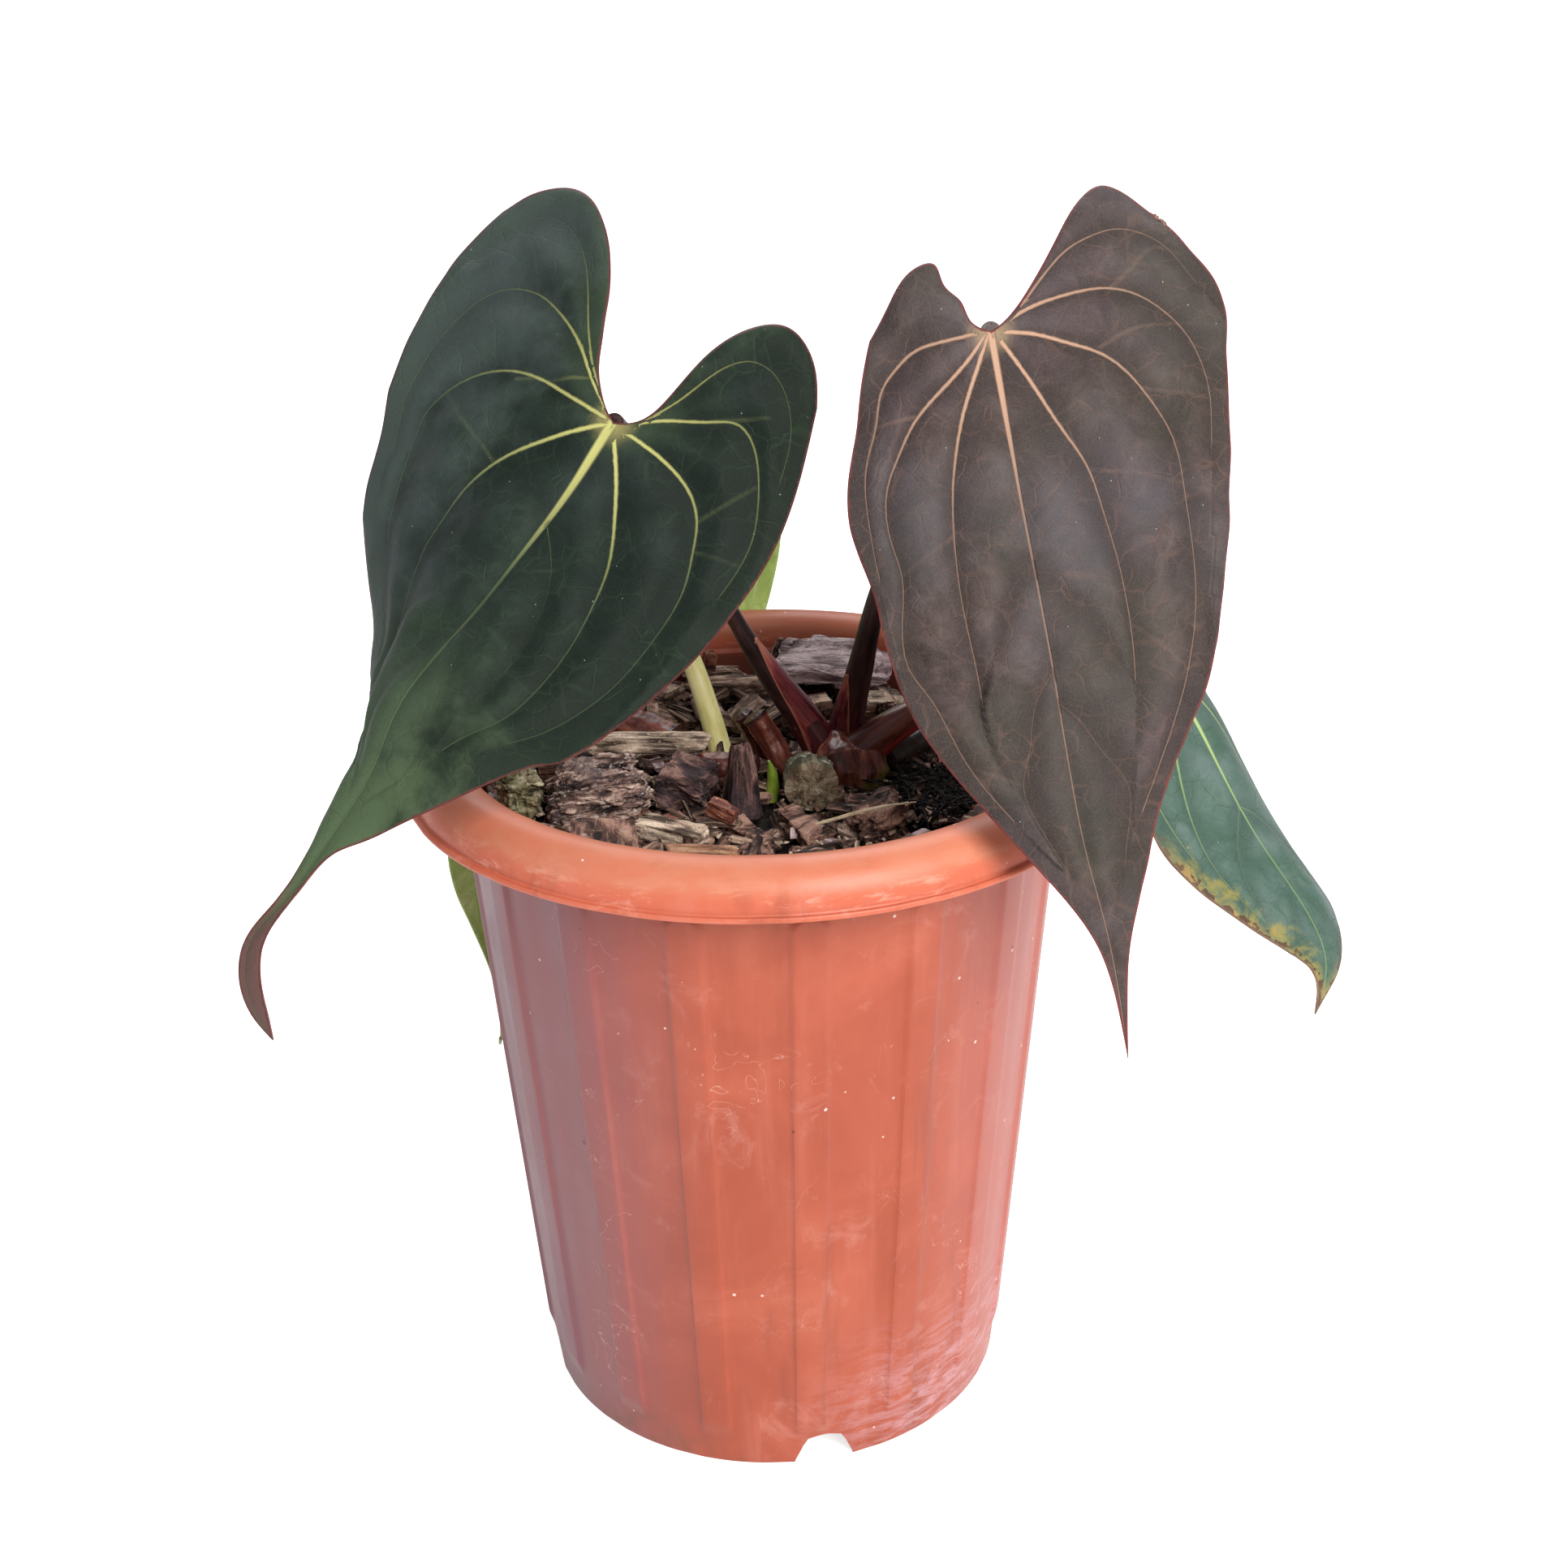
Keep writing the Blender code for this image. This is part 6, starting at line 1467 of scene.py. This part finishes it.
def make_crown():
    """The knot where the leaf stems clasp one another."""
    bm = bmesh.new()
    tube(bm, [bed(22.0, 5.0, -1), bed(21.5, 6.4, 3.6), bed(20.3, 9.0, 8.4), bed(19.4, 10.8, 12.2)],
         [8.0 * MM, 9.6 * MM, 9.0 * MM, 6.0 * MM, 0.8 * MM], 64, 40)
    tube(bm, [bed(26.5, 0.5, -1), bed(26.5, 2.0, 3.0), bed(26.0, 5.0, 7.4), bed(25, 7.6, 10.0)],
         [5.0 * MM, 6.2 * MM, 5.2 * MM, 0.8 * MM], 40, 30)
    blush = bm.verts.layers.float.new("blush")
    bm.normal_update()
    for vert in bm.verts:
        turn = math.atan2(vert.co.y, vert.co.x - 0.02)
        ridges = 0.15 * math.sin(turn * 9 + vert.co.z * 700) + noise.fractal(vert.co * 240, 0.8, 2.0, 4)
        vert.co += vert.normal * ridges * 0.42 * MM
        low = 0.7 - (vert.co.z - BED_LEVEL) / (9 * MM)
        vert[blush] = min(max(low + 90 * (vert.co.x - 0.0245), 0.0), 1.0)
    piece("crown_knot", bm, CROWN_SKIN, "crown", 60, recalculate=True)


def cut_piece(name, node, low, high, radius, material, seed, wave=0.35, blush=None, oval=1.0, end=None):
    """A length of old stem, cut off square with a rough end that sinks in a little."""
    bm = bmesh.new()

    def skin(share, angle):
        ridge = 0.035 * math.sin(7 * angle + seed) + 0.03 * math.sin(3 * angle + seed * 2)
        mouth = 0.07 * max(0, share - 0.9) * 10 - 0.05 * max(0, 0.12 - share) * 8
        return 1 + ridge + mouth

    low, high = bed(*low), bed(*high)
    middle = (low + high) / 2 + Vector((0.3, 0.2, 0.5)) * MM
    tube(bm, [low, middle, high], [radius * MM * SPREAD * oval, radius * MM * SPREAD, radius * MM * SPREAD], 40, 44,
         skin)
    blushed(bm, blush or (lambda share, vert: 1.0 if share > 0.95 or share < 0.03 else 0.0))
    raised = bm.verts.layers.float.new("raised")
    bm.normal_update()
    for vert in bm.verts:
        depth = noise.fractal(vert.co * 330 + Vector((seed, 0, 0)), 0.8, 2.0, 4)
        vert.co += vert.normal * depth * wave * MM
        vert[raised] = min(max(0.5 + 0.4 * depth, 0), 1)
    for face in [f for f in bm.faces if len(f.verts) > 20]:
        inner = bmesh.ops.inset_individual(bm, faces=[face], thickness=0.55 * MM, depth=-0.15 * MM)["faces"]
        again = bmesh.ops.inset_individual(bm, faces=[face], thickness=0.7 * MM, depth=-0.45 * MM)["faces"]
        if end is not None:
            for part in [face] + list(inner) + list(again):
                part.material_index = 1
        bmesh.ops.poke(bm, faces=[face])
    materials = [material] if end is None else [material, end]
    return piece(name, bm, materials, node, 45, recalculate=True)


make_crown()
cut_piece("cut_stem_front_red", "cut_stem_front", (6.4, 9.2, 1.0), (-1.6, 12, 15.6), 3.2, CUT_SKIN, 1)
cut_piece("cut_stem_rear_red", "cut_stem_rear", (0.5, 18.5, 1), (-5, 17.5, 14), 2.6, CUT_SKIN, 2)
cut_piece("fallen_stem_left_red", "fallen_stem_left", (-37, 35, 5), (-22, 22, 4.6), 4.3, CUT_SKIN, 3)
cut_piece("fallen_stem_middle_red", "fallen_stem_middle", (-18.5, 5.6, 4.3), (-1.5, 2.4, 4.3), 3.8,
          CUT_SKIN, 4, wave=0.5)
cut_piece("fallen_stem_right_dark", "fallen_stem_right", (31.5, 7.5, 4.7), (45.5, 22, 4.7), 4.4,
          BLACK_STEM, 5)
cut_piece("rhizome_stump_rough", "rhizome_stump", (10.4, -1, 5.6), (12.4, -14.2, 7.2), 6.3, RHIZOME, 6,
          wave=0.6, oval=0.75, end=RHIZOME_CUT)
stem_piece("green_shoot_fresh", "green_shoot",
           [bed(2.2, -5.5, 0.2), bed(2.9, -6.5, 6), bed(2.0, -7.4, 11.4)], [1.9 * MM, 1.7 * MM, 1.3 * MM, 0.3 * MM],
           GREEN_SKIN, sides=20, rings=30, wave=0.15)
bm = bmesh.new()
tube(bm, [bed(13, -38, 8.2), bed(19, -38.6, 10.2), bed(25, -37.4, 11.4), bed(37, -34, 11.6)],
     [0.4 * MM, 0.5 * MM, 0.35 * MM, 0.2 * MM], 8, 36)
raised = bm.verts.layers.float.new("raised")
for vert in bm.verts:
    vert[raised] = 0.6
piece("straw_dry", bm, STRAW, "straw", 60, recalculate=True)


def make_roots():
    """A dark tangle of fine dead roots at the right of the bed."""
    rng = random.Random(77)
    bm = bmesh.new()
    for _ in range(230):
        turn = rng.uniform(0, 2 * math.pi)
        r = 13 * math.sqrt(rng.random())
        x, y = 43 + r * math.cos(turn), -8 + 1.25 * r * math.sin(turn)
        heading = rng.uniform(0, 2 * math.pi)
        lift = rng.uniform(0.5, 5.5)
        path = [bed(x, y, lift)]
        for _ in range(3):
            heading += rng.gauss(0, 0.7)
            step = rng.uniform(1.5, 3.4)
            x += step * math.cos(heading)
            y += step * math.sin(heading)
            lift = min(max(lift + rng.gauss(0, 1.2), -0.5), 6.5)
            path.append(bed(x, y, lift))
        if max(math.hypot(p.x, p.y) for p in path) > 71 * MM:
            continue
        thick = rng.uniform(0.18, 0.5) * MM
        tube(bm, path, [thick, thick * 0.9, thick * 0.5], 5, 8)
    raised = bm.verts.layers.float.get("raised") or bm.verts.layers.float.new("raised")
    for vert in bm.verts:
        vert[raised] = rng.uniform(0.2, 0.8)
    lump = rough_block(bm, (19, 19, 4), (3, -4, 10), 18, 20, crag=1.1, lump=0.2)
    low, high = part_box("root_mat")
    bmesh.ops.translate(bm, verts=lump, vec=((low.x + high.x) / 2, (low.y + high.y) / 2, low.z + 1.5 * MM))
    piece("root_tangle", bm, ROOT, "root_mat", 60, recalculate=True)


make_roots()

# ---------------------------------------------------------------- floor and light
def make_stage():
    bm = bmesh.new()
    bmesh.ops.create_grid(bm, x_segments=8, y_segments=8, size=40.0)
    mesh = bpy.data.meshes.new("floor")
    bm.to_mesh(mesh)
    bm.free()
    floor = bpy.data.objects.new("floor", mesh)
    floor.location.z = -0.0002
    bpy.context.scene.collection.objects.link(floor)
    material, tree, shader = finish("pale_floor", roughness=0.9)
    spot = put(tree, "ShaderNodeTexCoord").outputs["Object"]
    paper = stops(tree, grainy(tree, spot, 3.0), (0.3, (0.93, 0.93, 0.93)), (0.7, (0.96, 0.96, 0.96)))
    seen = put(tree, "ShaderNodeLightPath").outputs["Is Camera Ray"]
    feed(tree, shader, base_color=paper, emission_color=mixed(tree, seen, (0.22, 0.22, 0.22), paper))
    shader.inputs["Emission Strength"].default_value = 0.76
    mesh.materials.append(material)


def softbox(name, place, target, size, power, colour):
    """A square soft light that faces a place."""
    light = bpy.data.lights.new(name, "AREA")
    light.shape = "RECTANGLE"
    light.size, light.size_y = size
    light.energy = power
    light.color = colour
    lamp = bpy.data.objects.new(name, light)
    lamp.matrix_world = (Matrix.Translation(place)
                         @ (Vector(target) - Vector(place)).to_track_quat("-Z", "Y").to_matrix().to_4x4())
    bpy.context.scene.collection.objects.link(lamp)


make_stage()
HEART = (0, 0, 0.16)
softbox("key_right", (0.55, -0.95, 1.0), HEART, (0.75, 0.75), 25.0, (1.0, 0.975, 0.95))
softbox("fill_left", (-1.0, -0.5, 0.7), HEART, (0.9, 0.9), 2.5, (0.82, 0.87, 1.0))
softbox("back_top", (0.0, 0.9, 1.2), HEART, (1.2, 0.8), 12.0, (0.96, 0.97, 1.0))
world = bpy.data.worlds.new("studio")
world.use_nodes = True
sky = world.node_tree.nodes["Background"]
sky.inputs["Color"].default_value = (0.95, 0.97, 1.0, 1.0)
sky.inputs["Strength"].default_value = 0.34
bpy.context.scene.world = world
